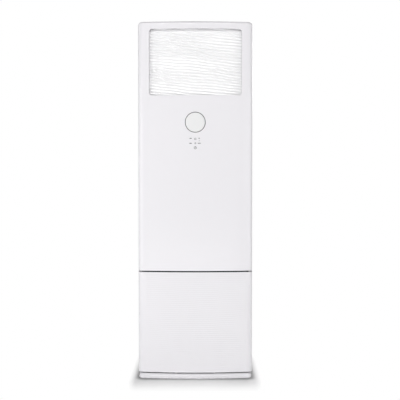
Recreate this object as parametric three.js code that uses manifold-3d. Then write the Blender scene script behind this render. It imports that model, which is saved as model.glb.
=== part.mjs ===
// Floor standing air conditioner, an assembly of separate pieces.
// Millimetres. +Z is up, the front faces -Y, +X is to the right seen from the front.
// The origin is on the floor, under the middle of the cabinet.
import * as THREE from 'three';
import Module from 'manifold-3d';
import { mergeVertices } from 'three/addons/utils/BufferGeometryUtils.js';

const wasm = await Module();
wasm.setup();

// ---------------------------------------------------------------- driving dimensions

// Cabinet
const cabinetWidth = 590;
const cabinetDepth = 395;
const cabinetHeight = 1840;
const frontBowRadius = 1950; // plan radius of the gently bowed front
const frontCornerRadius = 30;
const rearCornerRadius = 18;
const topEdgeRound = 14;
const frontWrap = 10; // straight run of the front panels behind their rounded corners
const plasticWall = 3;
const sheetWall = 1.5;
const sideSeam = 1.5; // joint line between front panels and side panels
const rearReturn = 22; // side panels fold round the rear corners by this much
const frontReturn = 31; // and inwards behind the front panels by this much
const rearFold = 12; // upright edges of the rear panel, folded forwards
const rearFoldLift = 4; // their feet above the tray's rim
const touchGap = 0.3; // clearance left where two fixed pieces touch
const runningGap = 0.3; // clearance round pins, shafts and sliding pieces

// Plinth and tray
const plinthHeight = 29;
const plinthFootInset = 1.5;
const plinthTopInset = 6;
const plinthWall = 6;
const trayHeight = 34;
const trayInset = 14; // tray front behind the rear edge of the front panels, forwards

// Front panels
const lowerSeam = 4.5;
const lowerPanelHeight = 520;
const upperSeam = 5.5;
const topCoverDepth = 28;
const bossMargin = 70; // screw bosses of the upper panel from its lower edge and from the roof
const bossHeight = 24;
const bossReach = 14;
const bossDepth = 9;
const hingeOffset = 90; // hinge brackets of the lower panel, either side of the middle
const hingePinRadius = 2.5;
const hingeRise = 8; // pin above the lower edge of the panel
const hingeBack = 11.5; // pin behind the foremost line of the panel
const hingeLugWidth = 12;
const hingeLugRadius = 6.2;
const hingePostWidth = 6;
const hingePostSetback = 2; // post behind the plinth's upper edge, clear of the tilting panel

// Outlet window and sliding door
const windowMargin = 57.5; // window's edge inside the cabinet's side
const windowWidth = cabinetWidth - 2 * windowMargin;
const windowHeight = 340;
const windowCorner = 14;
const windowTopMargin = 38;
const windowRimWall = 2.5;
const windowRimDepth = 16;
const doorRecess = 17.5; // door face behind the face of the panel
const doorWall = 3;
const doorSideLap = 14.5;
const doorEndLap = 5;
const doorTravel = 350;
const railGrip = 7;
const railWall = 2.5;
const railPlay = 0.5;

// Rack and pinion of the door
const gearModule = 2;
const pinionTeeth = 14;
const toothAddendum = 1.5;
const toothDedendum = 2.1;
const toothBacklash = 0.7;
const rackSpine = 2;
const rackWidth = 7;
const rackTail = 32; // the rack runs on below the door by this much
const pinionRootSpread = 0.45; // the pinion's teeth widen by this much at their roots
const pinionTipShare = 0.72; // and keep this share of the rack's tooth width at their tips
const pinionDrop = 24; // pinion axis under the window
const motorCanRadius = 15;
const motorCanLength = 19;
const motorShaftRadius = 2.5;

// Duct frame behind the window
const ductInset = 3; // duct walls inside the edge of the window
const ductWall = 3;
const ductDepth = 128;
const ductFlangeMargin = 33; // edge of the flange that carries the rails, inside the cabinet's side
const ductFlangeLap = 6;
const ductFlangeWall = 3;
const ductFootReach = 12; // the flange's feet reach this far over the side panels' front returns

// Horizontal louvres
const louvreCount = 5;
const louvrePitch = 64;
const louvreChord = 60;
const louvreThickness = 5;
const louvreEdge = 1.6;
const louvreSetback = 32; // pivot line behind the duct mouth
const louvreEndGap = 5;
const pivotPinRadius = 3;
const linkPinRadius = 2;
const louvreCrank = 22;
const louvreNotch = 14;
const linkBarWall = 3;
const linkBarWidth = 8;

// Upright vanes
const vaneCount = 5;
const vaneMargin = 61.5; // outermost vanes inside the edge of the window
const vaneChord = 46;
const vaneWall = 2;
const vaneSetback = 94;
const vaneEndGap = 4;
const vaneCrank = 17;
const vaneNotch = 15;

// Display
const displayDrop = 137.5; // centre of the disc under the window
const displayRadius = 53;
const displayBezelWidth = 3;
const displayBezelDepth = 6;
const displayLensWall = 4;
const displayBoardWidth = 120;
const displayBoardHeight = 190;
const displayBoardDepth = 7;
const displayBoardLap = 6; // housing above the disc
const displayBoardCorner = 8;

// Seam bar
const crossbarHeight = 33;
const crossbarMargin = 19; // bar's end inside the cabinet's side
const crossbarDepth = 33;

// Side intake
const intakeWidth = 180;
const intakeHeight = 400;
const intakeFront = 24; // behind the front edge of the side panel
const intakeSill = 66; // above the lower edge of the side panel
const grilleBorder = 11;
const slotCount = 24;
const slotHeight = 8;
const filterWall = 4;
const filterBorder = 9;
const filterMembrane = 1;
const filterInset = 4;

// Blower
const wheelRadius = 140;
const wheelInner = 112;
const wheelRoom = 27; // wheel narrower than the scroll by this much
const wheelBlades = 20;
const wheelBladeWall = 2.4;
const wheelDisc = 2.5;
const wheelHubRadius = 20;
const wheelHubLength = 40;
const shaftRadius = 6;
const scrollWall = 2.5;
const scrollRearRoom = 114.5; // scroll in front of the rear face, where the motor stands
const scrollStart = 160; // spiral radius at the tongue
const throatRoom = 25; // throat left of the notch that the pipes pass the deck in
const scrollTongueAngle = 60;
const scrollOffset = -20; // fan axis left of the middle
const scrollGap = 17; // scroll behind the control box
const scrollLift = 12; // spiral above the tray floor
const scrollFootWidth = 40;
const scrollFootSpread = 70;
const inletRadius = 118;
const inletLip = 9;
const inletRingWall = 3;
const inletSides = 28;
const fanMotorRadius = 58;
const fanMotorLength = 72;
const fanMotorGap = 9;
const bracketWall = 3;
const bracketWidth = 150;
const bracketInset = 14; // saddle plates inside the ends of the motor
const bracketDrop = 6; // their upper edges under the fan axis

// Fan deck, coil and drain
const deckRise = 63; // deck above the upper seam
const deckNotchMargin = 55; // the pipes and the hose pass the deck in a notch this wide
const deckNotchSetback = 17; // notch behind the pan's front
const deckNotchRear = 60;
const coilMargin = 81.5; // half of what the coil is narrower than the cabinet
const coilThickness = 50;
const coilLength = 640;
const coilFootSetback = 27; // middle of the coil's foot behind the pan's front
const coilFootRise = 97; // middle of the lower end of the coil above the deck
const coilTilt = 22.3;
const coilShift = -8.5; // coil left of the middle
const plateMargin = 3;
const plateFoot = 34;
const bendCount = 5;
const bendPitch = 32;
const bendTube = 4.5;
const panFrontGap = 1.7; // pan behind the foam board
const panDepth = 84;
const panHeight = 70;
const panWall = 3;
const panLeftMargin = 50; // pan's ends inside the cabinet's sides
const panRightMargin = 45;
const boardWall = 10;
const boardTopDrop = 47; // foam board ends under the window by this much
const hoseRadius = 9;
const hoseReach = 14; // hose right of the pan's end
const hoseDrop = 60; // its first straight drop
const hoseMidHeight = 300;
const hoseTurnHeight = 140;
const hoseFootHeight = 92;
const hoseRearRun = 64; // its last run in front of the pipe opening
const hoseHoleDrop = 24; // its end under the middle of the pipe opening
const gasPipeRadius = 8;
const liquidPipeRadius = 4.8;
const flareNutRadius = 13;
const flareNutLength = 22;
const pipeEndGap = 12; // pipe ends in front of the rear panel
const gasPipeMargin = 27; // upright runs inside the cabinet's right side
const gasPipeY = 20;
const gasPipeEnd = 16; // pipe ends beside the middle of the opening
const liquidPipeMargin = 43;
const liquidPipeY = -6;
const liquidPipeEnd = -18;
const liquidPipeStart = 32; // start of the liquid pipe along the coil
const pipeEndRise = 12;
const pipeLead = 10; // straight out of the coil's end plate
const pipeShoulder = 8;
const pipeShoulderDrop = 30;
const pipeAboveDeck = 60;
const pipeBelowDeck = 40;
const pipeKneeHeight = 260;
const pipeKneeRise = 20;
const pipeSweep = 60;
const pipeTail = 45;
const flareTail = 5; // pipe end past its flare nut

// Rear
const pipeHoleMargin = 85; // pipe opening inside the cabinet's right side
const pipeHoleZ = 130;
const pipeHoleRadius = 42;
const grommetWall = 5;
const grommetLip = 3;
const grommetDepth = 6;
const glandMargin = 90; // gland inside the cabinet's left side
const glandZ = 120;
const glandRadius = 11;
const glandLength = 20;
const glandNutDepth = 8;
const glandNutReach = 5;
const glandWall = 4;

// Electrics
const controlWidth = 350;
const controlHeight = 150;
const controlDepth = 56;
const controlShift = -30;
const controlSetback = 2.6; // box mouth behind the side panels' front return
const boardStandoff = 8;
const boardMargin = 18;
const circuitWall = 1.6;
const postRadius = 3;
const postInset = 8;
const capacitorRadius = 14;
const capacitorLength = 34;
const smallCapacitorRadius = 9;
const smallCapacitorLength = 24;
// Parts of the board: x and z from its lower left corner, then width, height and depth.
const terminalBlock = [14, 10, 86, 24, 20];
const transformerBlock = [20, 52, 44, 40, 30];
const relayBlocks = [[120, 12, 20, 26, 16], [146, 12, 20, 26, 16]];
// From the lower right corner: x is counted to the left.
const heatSinkBlock = [84, 60, 60, 34, 22];
const capacitorPlace = [40, 28];
const smallCapacitorPlace = [78, 28];

// ---------------------------------------------------------------- derived places

const halfWidth = cabinetWidth / 2;
const frontY = -cabinetDepth / 2;
const rearY = cabinetDepth / 2;
const rearInner = rearY - sheetWall;
const sideInner = halfWidth - sheetWall;
const bowCentreY = frontY + frontBowRadius;
const cornerX = halfWidth - frontCornerRadius;
const cornerY = bowCentreY - Math.sqrt((frontBowRadius - frontCornerRadius) ** 2 - cornerX ** 2);
const panelRearY = cornerY + frontWrap;
const sheetFrontY = panelRearY + sideSeam;

const lowerPanelBottom = plinthHeight + lowerSeam;
const lowerPanelTop = lowerPanelBottom + lowerPanelHeight;
const upperPanelBottom = lowerPanelTop + upperSeam;
const seamZ = lowerPanelTop + upperSeam / 2;
const topCoverBottom = cabinetHeight - topCoverDepth;
const sheetTop = topCoverBottom - touchGap;

const windowTop = cabinetHeight - windowTopMargin;
const windowBottom = windowTop - windowHeight;
const windowZ = (windowTop + windowBottom) / 2;
const displayZ = windowBottom - displayDrop;

const ductFlangeSide = halfWidth - ductFlangeMargin;
const vanePitch = (windowWidth - 2 * vaneMargin) / (vaneCount - 1);
const crossbarHalf = halfWidth - crossbarMargin;
const coilWidth = cabinetWidth - 2 * coilMargin;
const panLeft = halfWidth - panLeftMargin;
const panRight = halfWidth - panRightMargin;
const deckNotchX = halfWidth - deckNotchMargin;
const scrollEnd = deckNotchX - throatRoom - scrollOffset; // spiral radius at the throat
const pipeHoleX = halfWidth - pipeHoleMargin;
const glandX = glandMargin - halfWidth;
const controlY0 = sheetFrontY + controlSetback;
const scrollFront = controlY0 + controlDepth + scrollGap;
const scrollDepth = rearY - scrollRearRoom - scrollFront;
const wheelWidth = scrollDepth - wheelRoom;

const doorHalf = windowWidth / 2 + doorSideLap;
const doorBottom = windowBottom - doorEndLap;
const doorTop = windowTop + doorEndLap;
const doorBack = doorRecess + doorWall;

const trayFloor = plinthHeight + touchGap + sheetWall;
const deckZ = upperPanelBottom + deckRise;
const deckTop = deckZ + sheetWall;

// ---------------------------------------------------------------- solids and booleans

function solidOf(geometry) {
  const bare = geometry.clone();
  bare.deleteAttribute('normal');
  bare.deleteAttribute('uv');
  const merged = mergeVertices(bare, 1e-4);
  const vertProperties = new Float32Array(merged.attributes.position.array);
  const triVerts = new Uint32Array(merged.index.array);
  return new wasm.Manifold(new wasm.Mesh({ numProp: 3, vertProperties, triVerts }));
}

function geometryOf(solid) {
  const mesh = solid.getMesh();
  const geometry = new THREE.BufferGeometry();
  geometry.setAttribute('position', new THREE.BufferAttribute(mesh.vertProperties, 3));
  geometry.setIndex(new THREE.BufferAttribute(mesh.triVerts, 1));
  geometry.computeVertexNormals();
  return geometry;
}

function cut(solid, ...tools) {
  return tools.reduce((rest, tool) => rest.subtract(tool), solid);
}

function join(first, ...others) {
  return others.reduce((sum, other) => sum.add(other), first);
}

function block(x0, x1, y0, y1, z0, z1) {
  const geometry = new THREE.BoxGeometry(x1 - x0, y1 - y0, z1 - z0);
  geometry.translate((x0 + x1) / 2, (y0 + y1) / 2, (z0 + z1) / 2);
  return solidOf(geometry);
}

// A flat shape pushed along an axis, from one value to another. Along X the shape holds (y, z),
// along Y it holds (x, z) and along Z it holds (x, y).
const prismBases = {
  x: [new THREE.Vector3(0, 1, 0), new THREE.Vector3(0, 0, 1), new THREE.Vector3(1, 0, 0)],
  y: [new THREE.Vector3(1, 0, 0), new THREE.Vector3(0, 0, 1), new THREE.Vector3(0, -1, 0)],
  z: [new THREE.Vector3(1, 0, 0), new THREE.Vector3(0, 1, 0), new THREE.Vector3(0, 0, 1)],
};

function prism(axis, shape, from, to, curveSegments = 6) {
  const geometry = new THREE.ExtrudeGeometry(shape, { depth: to - from, bevelEnabled: false, curveSegments });
  const start = axis === 'y' ? -to : from;
  geometry.translate(0, 0, start);
  geometry.applyMatrix4(new THREE.Matrix4().makeBasis(...prismBases[axis]));
  return solidOf(geometry);
}

// A round rod whose axis runs along x, y or z through (a, b), given in the order of prism's shapes.
function rod(axis, radius, from, to, a = 0, b = 0, sides = 16) {
  const shape = new THREE.Shape();
  for (let i = 0; i < sides; i += 1) {
    const angle = ((i + 0.5) / sides) * 2 * Math.PI;
    const x = a + radius * Math.cos(angle);
    const y = b + radius * Math.sin(angle);
    if (i === 0) shape.moveTo(x, y);
    else shape.lineTo(x, y);
  }
  return prism(axis, shape, from, to);
}

function polygon(points) {
  return new THREE.Shape(points.map(([x, y]) => new THREE.Vector2(x, y)));
}

function roundedRect(x0, x1, y0, y1, radius) {
  const shape = new THREE.Shape();
  shape.moveTo(x0 + radius, y0);
  shape.lineTo(x1 - radius, y0);
  shape.absarc(x1 - radius, y0 + radius, radius, -Math.PI / 2, 0);
  shape.lineTo(x1, y1 - radius);
  shape.absarc(x1 - radius, y1 - radius, radius, 0, Math.PI / 2);
  shape.lineTo(x0 + radius, y1);
  shape.absarc(x0 + radius, y1 - radius, radius, Math.PI / 2, Math.PI);
  shape.lineTo(x0, y0 + radius);
  shape.absarc(x0 + radius, y0 + radius, radius, Math.PI, 1.5 * Math.PI);
  return shape;
}

// A round tube along a smooth route through the given points.
function tube(points, radius, steps, sides = 8) {
  const section = new THREE.Shape();
  for (let i = 0; i < sides; i += 1) {
    const angle = (i / sides) * 2 * Math.PI;
    const x = radius * Math.cos(angle);
    const y = radius * Math.sin(angle);
    if (i === 0) section.moveTo(x, y);
    else section.lineTo(x, y);
  }
  const route = new THREE.CatmullRomCurve3(points.map((p) => new THREE.Vector3(...p)), false, 'centripetal');
  return solidOf(new THREE.ExtrudeGeometry(section, { steps, extrudePath: route, bevelEnabled: false }));
}

// ---------------------------------------------------------------- cabinet outline

// Depth of the bowed front at a distance x from the middle, at a distance inset behind its face.
function bowY(x, inset) {
  return bowCentreY - Math.sqrt((frontBowRadius - inset) ** 2 - x ** 2);
}

// Plan outline of the cabinet, moved inwards by inset: bowed front, round corners, straight sides.
function planShape(inset) {
  const side = halfWidth - inset;
  const rear = rearY - inset;
  const front = frontCornerRadius - inset;
  const back = rearCornerRadius - inset;
  const meet = Math.atan2(cornerY - bowCentreY, cornerX);
  const shape = new THREE.Shape();
  shape.moveTo(side, cornerY);
  shape.lineTo(side, rear - back);
  shape.absarc(side - back, rear - back, back, 0, Math.PI / 2);
  shape.lineTo(-side + back, rear);
  shape.absarc(-side + back, rear - back, back, Math.PI / 2, Math.PI);
  shape.lineTo(-side, cornerY);
  shape.absarc(-cornerX, cornerY, front, Math.PI, 2 * Math.PI - (Math.PI + meet));
  shape.absarc(0, bowCentreY, frontBowRadius - inset, -Math.PI - meet, meet);
  shape.absarc(cornerX, cornerY, front, meet, 0);
  return shape;
}

// The cabinet's body up to its roof, moved inwards by inset, with its rounded upper edge.
function cabinetBody(inset) {
  const round = topEdgeRound - inset;
  const below = topEdgeRound + 10;
  const geometry = new THREE.ExtrudeGeometry(planShape(inset), {
    depth: cabinetHeight - inset + below - 2 * round,
    bevelThickness: round,
    bevelSize: round,
    bevelOffset: -round,
    bevelSegments: 4,
    curveSegments: 4,
  });
  geometry.translate(0, 0, round - below);
  return solidOf(geometry);
}

function cabinetShell(wall) {
  return cabinetBody(0).subtract(cabinetBody(wall));
}

const plasticShell = cabinetShell(plasticWall);
const sheetShell = cabinetShell(sheetWall);
const beyond = 20; // how far cutting tools run past what they cut

// ---------------------------------------------------------------- plinth and tray

// The plinth's outline grows towards the floor.
function plinthBlock(inset, bottom, top) {
  const geometry = new THREE.ExtrudeGeometry(planShape(plinthTopInset + inset), {
    depth: top - bottom,
    bevelEnabled: false,
    curveSegments: 4,
  });
  geometry.translate(0, 0, bottom);
  const position = geometry.attributes.position;
  const flare = plinthTopInset - plinthFootInset;
  for (let i = 0; i < position.count; i += 1) {
    const share = 1 - Math.min(Math.max(position.getZ(i) / plinthHeight, 0), 1);
    const growX = 1 + (flare * share) / (halfWidth - plinthTopInset);
    const growY = 1 + (flare * share) / (rearY - plinthTopInset);
    position.setX(i, position.getX(i) * growX);
    position.setY(i, position.getY(i) * growY);
  }
  return solidOf(geometry);
}

function basePlinth() {
  return cut(plinthBlock(0, 0, plinthHeight), plinthBlock(plinthWall, 0, plinthHeight - plinthWall));
}

function baseTray() {
  const side = halfWidth - frontReturn - touchGap;
  const front = panelRearY - trayInset;
  const rear = rearInner - touchGap;
  const floor = plinthHeight + touchGap;
  const outer = block(-side, side, front, rear, floor, floor + trayHeight);
  const inner = block(-side + sheetWall, side - sheetWall, front + sheetWall, rear - sheetWall,
    floor + sheetWall, floor + trayHeight + beyond);
  return cut(outer, inner);
}

// ---------------------------------------------------------------- front panels

function windowShape(grow) {
  return roundedRect(-windowWidth / 2 - grow, windowWidth / 2 + grow, windowBottom - grow, windowTop + grow,
    windowCorner + grow);
}

function upperFrontPanel() {
  const region = block(-halfWidth - 1, halfWidth + 1, frontY - 1, panelRearY, upperPanelBottom,
    cabinetHeight + 1);
  const hole = prism('y', windowShape(0), frontY - beyond, panelRearY, 4);
  const ring = prism('y', windowShape(windowRimWall), frontY - beyond, panelRearY, 4);
  const rimBand = cabinetBody(plasticWall / 2).subtract(cabinetBody(0).intersect(rimBack()));
  const rim = ring.intersect(rimBand);
  const disc = rod('y', displayRadius + touchGap, frontY - beyond, frontY + beyond, 0, displayZ, 40);
  const bosses = [];
  for (const z of [upperPanelBottom + bossMargin, sheetTop - bossMargin]) {
    bosses.push(panelBoss(z), panelBoss(z).mirror([1, 0, 0]));
  }
  return cut(join(plasticShell.intersect(region), rim, ...bosses), hole, disc);
}

// A boss inside the panel's flank that lies on the side panel's front return.
function panelBoss(z) {
  const outer = halfWidth - plasticWall / 2;
  return block(outer - bossReach, outer, panelRearY - bossDepth, sheetFrontY - touchGap, z - bossHeight / 2,
    z + bossHeight / 2);
}

// Everything behind the rear edge of the window's rim, which follows the bow of the front.
function rimBack() {
  const shape = new THREE.Shape();
  const reach = cornerX;
  shape.moveTo(reach, rearY + beyond);
  shape.lineTo(-reach, rearY + beyond);
  shape.lineTo(-reach, bowY(reach, windowRimDepth));
  const swing = Math.asin(reach / (frontBowRadius - windowRimDepth));
  const down = -Math.PI / 2;
  shape.absarc(0, bowCentreY, frontBowRadius - windowRimDepth, down - swing, down + swing);
  return prism('z', shape, -beyond, cabinetHeight + beyond, 4);
}

const hingeY = frontY + hingeBack;
const hingeZ = lowerPanelBottom + hingeRise;

function hingeLug(side) {
  const middle = side * hingeOffset;
  const low = middle - hingeLugWidth / 2;
  const high = middle + hingeLugWidth / 2;
  const arm = block(low, high, bowY(middle, plasticWall / 2) - 0.2, hingeY, hingeZ - hingeLugRadius,
    hingeZ + hingeLugRadius);
  const eye = rod('x', hingeLugRadius, low, high, hingeY, hingeZ);
  const bore = rod('x', hingePinRadius + runningGap, low - 1, high + 1, hingeY, hingeZ, 12);
  return cut(join(arm, eye), bore);
}

function lowerFrontPanel() {
  const region = block(-halfWidth - 1, halfWidth + 1, frontY - 1, panelRearY, lowerPanelBottom, lowerPanelTop);
  return join(plasticShell.intersect(region), hingeLug(-1), hingeLug(1));
}

// A bracket that stands on the plinth, with the pin that the lower panel tilts on.
function panelHinge(side) {
  const inner = hingeOffset + hingeLugWidth / 2 + runningGap;
  const outer = inner + hingePostWidth;
  const front = bowY(outer, plinthTopInset) + hingePostSetback;
  const foot = plinthHeight + touchGap;
  const post = block(inner, outer, front, hingeY + hingeLugRadius, foot, hingeZ + hingeLugRadius);
  const pin = rod('x', hingePinRadius, hingeOffset - hingeLugWidth / 2, outer, hingeY, hingeZ, 12);
  const bracket = join(post, pin);
  return side > 0 ? bracket : bracket.mirror([1, 0, 0]);
}

// ---------------------------------------------------------------- sheet metal and top

function intakeSpan() {
  const front = sheetFrontY + intakeFront;
  const sill = lowerPanelBottom + intakeSill;
  return [front, front + intakeWidth, sill, sill + intakeHeight];
}

function sidePanel(side) {
  const [y0, y1, z0, z1] = intakeSpan();
  const region = block(halfWidth - rearReturn, halfWidth + 1, sheetFrontY, rearY + 1, lowerPanelBottom, sheetTop);
  const lip = block(halfWidth - frontReturn, halfWidth - sheetWall / 2, sheetFrontY, sheetFrontY + sheetWall,
    lowerPanelBottom, sheetTop);
  const hole = block(sideInner - 1, halfWidth + 1, y0, y1, z0, z1);
  const panel = cut(join(sheetShell.intersect(region), lip), hole);
  return side > 0 ? panel : panel.mirror([1, 0, 0]);
}

function rearPanel() {
  const half = halfWidth - rearReturn - touchGap;
  const sheet = block(-half, half, rearInner, rearY, lowerPanelBottom, sheetTop);
  const foldFoot = lowerPanelBottom + trayHeight + rearFoldLift;
  const edge = block(half - sheetWall, half, rearInner - rearFold, rearY, foldFoot, sheetTop);
  const pipes = rod('y', pipeHoleRadius, rearInner - rearFold, rearY + 1, pipeHoleX, pipeHoleZ, 24);
  const cable = rod('y', glandRadius + touchGap, rearInner - 1, rearY + 1, glandX, glandZ, 16);
  return cut(join(sheet, edge, edge.mirror([1, 0, 0])), pipes, cable);
}

function topCover() {
  const region = block(-halfWidth - 1, halfWidth + 1, sheetFrontY, rearY + 1, topCoverBottom, cabinetHeight + 1);
  return plasticShell.intersect(region);
}

// A channel across the cabinet behind the upper seam, open to the rear.
function midCrossbar() {
  const rear = sheetFrontY - touchGap;
  const front = rear - crossbarDepth;
  const z0 = seamZ - crossbarHeight / 2;
  const z1 = seamZ + crossbarHeight / 2;
  const outer = block(-crossbarHalf, crossbarHalf, front, rear, z0, z1);
  const hollow = block(-crossbarHalf - 1, crossbarHalf + 1, front + sheetWall, rear + 1, z0 + sheetWall,
    z1 - sheetWall);
  return cut(outer, hollow);
}

// ---------------------------------------------------------------- side intake

function intakeGrille(side) {
  const [y0, y1, z0, z1] = intakeSpan();
  const inner = halfWidth - plasticWall;
  let grille = block(inner, halfWidth, y0 + touchGap, y1 - touchGap, z0 + touchGap, z1 - touchGap);
  const pitch = (intakeHeight - 2 * grilleBorder) / slotCount;
  for (let i = 0; i < slotCount; i += 1) {
    const middle = z0 + grilleBorder + (i + 0.5) * pitch;
    const slot = block(inner - 1, halfWidth + 1, y0 + grilleBorder, y1 - grilleBorder,
      middle - slotHeight / 2, middle + slotHeight / 2);
    grille = cut(grille, slot);
  }
  return side > 0 ? grille : grille.mirror([1, 0, 0]);
}

// A frame with a thin membrane of mesh, clipped behind the grille.
function intakeFilter(side) {
  const [y0, y1, z0, z1] = intakeSpan();
  const outer = halfWidth - plasticWall - touchGap;
  const inner = outer - filterWall;
  const frame = block(inner, outer, y0 + filterInset, y1 - filterInset, z0 + filterInset, z1 - filterInset);
  const edge = filterInset + filterBorder;
  const pocket = block(inner + filterMembrane, outer + 1, y0 + edge, y1 - edge, z0 + edge, z1 - edge);
  const filter = cut(frame, pocket);
  return side > 0 ? filter : filter.mirror([1, 0, 0]);
}

// ---------------------------------------------------------------- outlet door and its drive

function doorBand(inset, wall, half, z0, z1) {
  const swing = (radius) => Math.asin(half / radius);
  const outer = frontBowRadius - inset;
  const inner = outer - wall;
  const down = -Math.PI / 2;
  const shape = new THREE.Shape();
  shape.moveTo(-half, bowY(half, inset));
  shape.absarc(0, bowCentreY, outer, down - swing(outer), down + swing(outer));
  shape.lineTo(half, bowY(half, inset + wall));
  shape.absarc(0, bowCentreY, inner, down + swing(inner), down - swing(inner), true);
  return prism('z', shape, z0, z1, 6);
}

function outletDoor() {
  return doorBand(doorRecess, doorWall, doorHalf, doorBottom, doorTop);
}

const toothPitch = Math.PI * gearModule;
const pitchRadius = (gearModule * pinionTeeth) / 2;
const rackRight = doorHalf - railGrip - 1.5;
const rackFront = bowY(rackRight, doorBack) + touchGap;
const rackPitchY = rackFront + rackSpine + toothDedendum;
const rackTipY = rackPitchY + toothAddendum;
const pinionY = rackPitchY + pitchRadius;
const pinionZ = windowBottom - pinionDrop;
const flangeFront = rackTipY + 2;
const panFrontY = flangeFront + boardWall + panFrontGap;
const coilFootY = panFrontY + coilFootSetback;
const deckNotchFront = panFrontY + deckNotchSetback;

// Half widths of a tooth at its root, pitch line and tip. The flank leans by 20 degrees.
const flankLean = Math.tan(THREE.MathUtils.degToRad(20));
const toothHalf = (toothPitch / 2 - toothBacklash) / 2;
const toothRootHalf = toothHalf + toothDedendum * flankLean;
const toothTipHalf = toothHalf - toothAddendum * flankLean;

function doorRack() {
  const low = doorBottom - rackTail;
  const high = doorTop - 2;
  const root = rackPitchY - toothDedendum;
  const points = [[rackFront, low], [root, low]];
  // Gaps between the pinion's teeth sit at whole pitches from its axis, so the rack's teeth do too.
  const first = Math.ceil((low - pinionZ) / toothPitch + 0.5);
  const last = Math.floor((high - pinionZ) / toothPitch - 0.5);
  for (let i = first; i <= last; i += 1) {
    const z = pinionZ + i * toothPitch;
    points.push([root, z - toothRootHalf], [rackTipY, z - toothTipHalf]);
    points.push([rackTipY, z + toothTipHalf], [root, z + toothRootHalf]);
  }
  points.push([root, high], [rackFront, high]);
  return prism('x', polygon(points.reverse()), rackRight - rackWidth, rackRight);
}

// The pinion turns about X through its own origin. One gap between its teeth faces the rack.
function doorPinion() {
  const root = pitchRadius - toothDedendum;
  const tip = pitchRadius + toothAddendum;
  const points = [];
  for (let i = 0; i < pinionTeeth; i += 1) {
    const middle = Math.PI + ((i + 0.5) / pinionTeeth) * 2 * Math.PI;
    const add = (radius, half) => {
      const angle = middle + Math.asin(half / radius);
      points.push([radius * Math.cos(angle), radius * Math.sin(angle)]);
    };
    add(root, -(toothHalf + pinionRootSpread));
    add(pitchRadius, -toothHalf);
    add(tip, -toothTipHalf * pinionTipShare);
    add(tip, toothTipHalf * pinionTipShare);
    add(pitchRadius, toothHalf);
    add(root, toothHalf + pinionRootSpread);
  }
  const gear = prism('x', polygon(points), -rackWidth / 2, rackWidth / 2);
  return cut(gear, rod('x', motorShaftRadius + runningGap, -rackWidth, rackWidth, 0, 0, 10));
}

// A small geared motor: a can, a flange plate and a shaft, pointing along +X from its own origin.
function gearedMotor(shaftLength) {
  const can = rod('x', motorCanRadius, -motorCanLength, 0, 0, 0, 20);
  const ears = block(-2, 0, -motorCanRadius - 5, motorCanRadius + 5, -4, 4);
  const shaft = rod('x', motorShaftRadius, -2, shaftLength, 0, 0, 10);
  return join(can, ears, shaft);
}

function doorRail(side) {
  const innerX = doorHalf - railGrip;
  const slotX = doorHalf + railPlay;
  const outerX = slotX + railWall;
  const slotFront = bowY(innerX, doorRecess) - railPlay;
  const slotBack = bowY(doorHalf, doorBack) + railPlay;
  const rear = flangeFront - touchGap;
  const shape = polygon([
    [innerX, slotFront - railWall], [outerX, slotFront - railWall], [outerX, rear],
    [innerX, rear], [innerX, slotBack], [slotX, slotBack], [slotX, slotFront], [innerX, slotFront],
  ]);
  const rail = prism('z', shape, doorBottom - doorTravel - 3, doorTop + 2);
  return side > 0 ? rail : rail.mirror([1, 0, 0]);
}

// ---------------------------------------------------------------- duct frame

const ductHalf = windowWidth / 2 - ductInset - ductWall;
const ductBottom = windowBottom + ductInset;
const ductTop = windowTop - ductInset;
const ductRear = flangeFront + ductDepth;
const louvreY = flangeFront + louvreSetback;
const vaneY = flangeFront + vaneSetback;
const drivenLouvre = Math.floor(louvreCount / 2);

function louvreZ(i) {
  return windowZ + (i - (louvreCount - 1) / 2) * louvrePitch;
}

function vaneX(i) {
  return (i - (vaneCount - 1) / 2) * vanePitch;
}

function outletFrame() {
  const outer = prism('y', roundedRect(-ductHalf - ductWall, ductHalf + ductWall, ductBottom - ductWall,
    ductTop + ductWall, windowCorner), flangeFront, ductRear, 3);
  const flange = block(-ductFlangeSide, ductFlangeSide, flangeFront, flangeFront + ductFlangeWall,
    ductBottom - ductWall - ductFlangeLap, ductTop + ductWall + ductFlangeLap);
  const bore = prism('y', roundedRect(-ductHalf, ductHalf, ductBottom, ductTop, windowCorner - ductWall),
    flangeFront - 1, ductRear + 1, 3);
  const lugX = motorMountX();
  const lug = block(lugX, lugX + ductWall, flangeFront + ductFlangeWall + 1, pinionY + motorCanRadius + 6,
    pinionZ - motorCanRadius - 2, ductBottom - ductWall + windowCorner);
  const shaftHole = rod('x', motorShaftRadius + runningGap, lugX - 1, lugX + ductWall + 1, pinionY, pinionZ, 10);
  let frame = cut(join(outer, flange, lug, sideMount(1), sideMount(-1)), bore, shaftHole);
  const pinHole = pivotPinRadius + runningGap;
  const past = 2 * ductWall;
  for (let i = 0; i < louvreCount; i += 1) {
    frame = cut(frame, rod('x', pinHole, -ductHalf - past, ductHalf + past, louvreY, louvreZ(i), 8));
  }
  for (let i = 0; i < vaneCount; i += 1) {
    frame = cut(frame, rod('z', pinHole, ductBottom - past, ductTop + past, vaneX(i), vaneY, 8));
  }
  return frame;
}

// An angled edge of the flange that lies on the side panel's front return.
function sideMount(side) {
  const low = ductBottom - ductWall - ductFlangeLap;
  const high = ductTop + ductWall + ductFlangeLap;
  const seat = sheetFrontY - touchGap;
  const web = block(ductFlangeSide - ductFlangeWall, ductFlangeSide, flangeFront, seat, low, high);
  const foot = block(ductFlangeSide - ductFlangeWall, ductFlangeSide + ductFootReach, seat - ductFlangeWall, seat,
    low, high);
  const mount = join(web, foot);
  return side > 0 ? mount : mount.mirror([1, 0, 0]);
}

// The door's motor hangs on a lug under the duct, left of the pinion.
function motorMountX() {
  return rackRight - rackWidth - 2 - ductWall;
}

// ---------------------------------------------------------------- louvres and vanes

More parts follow.
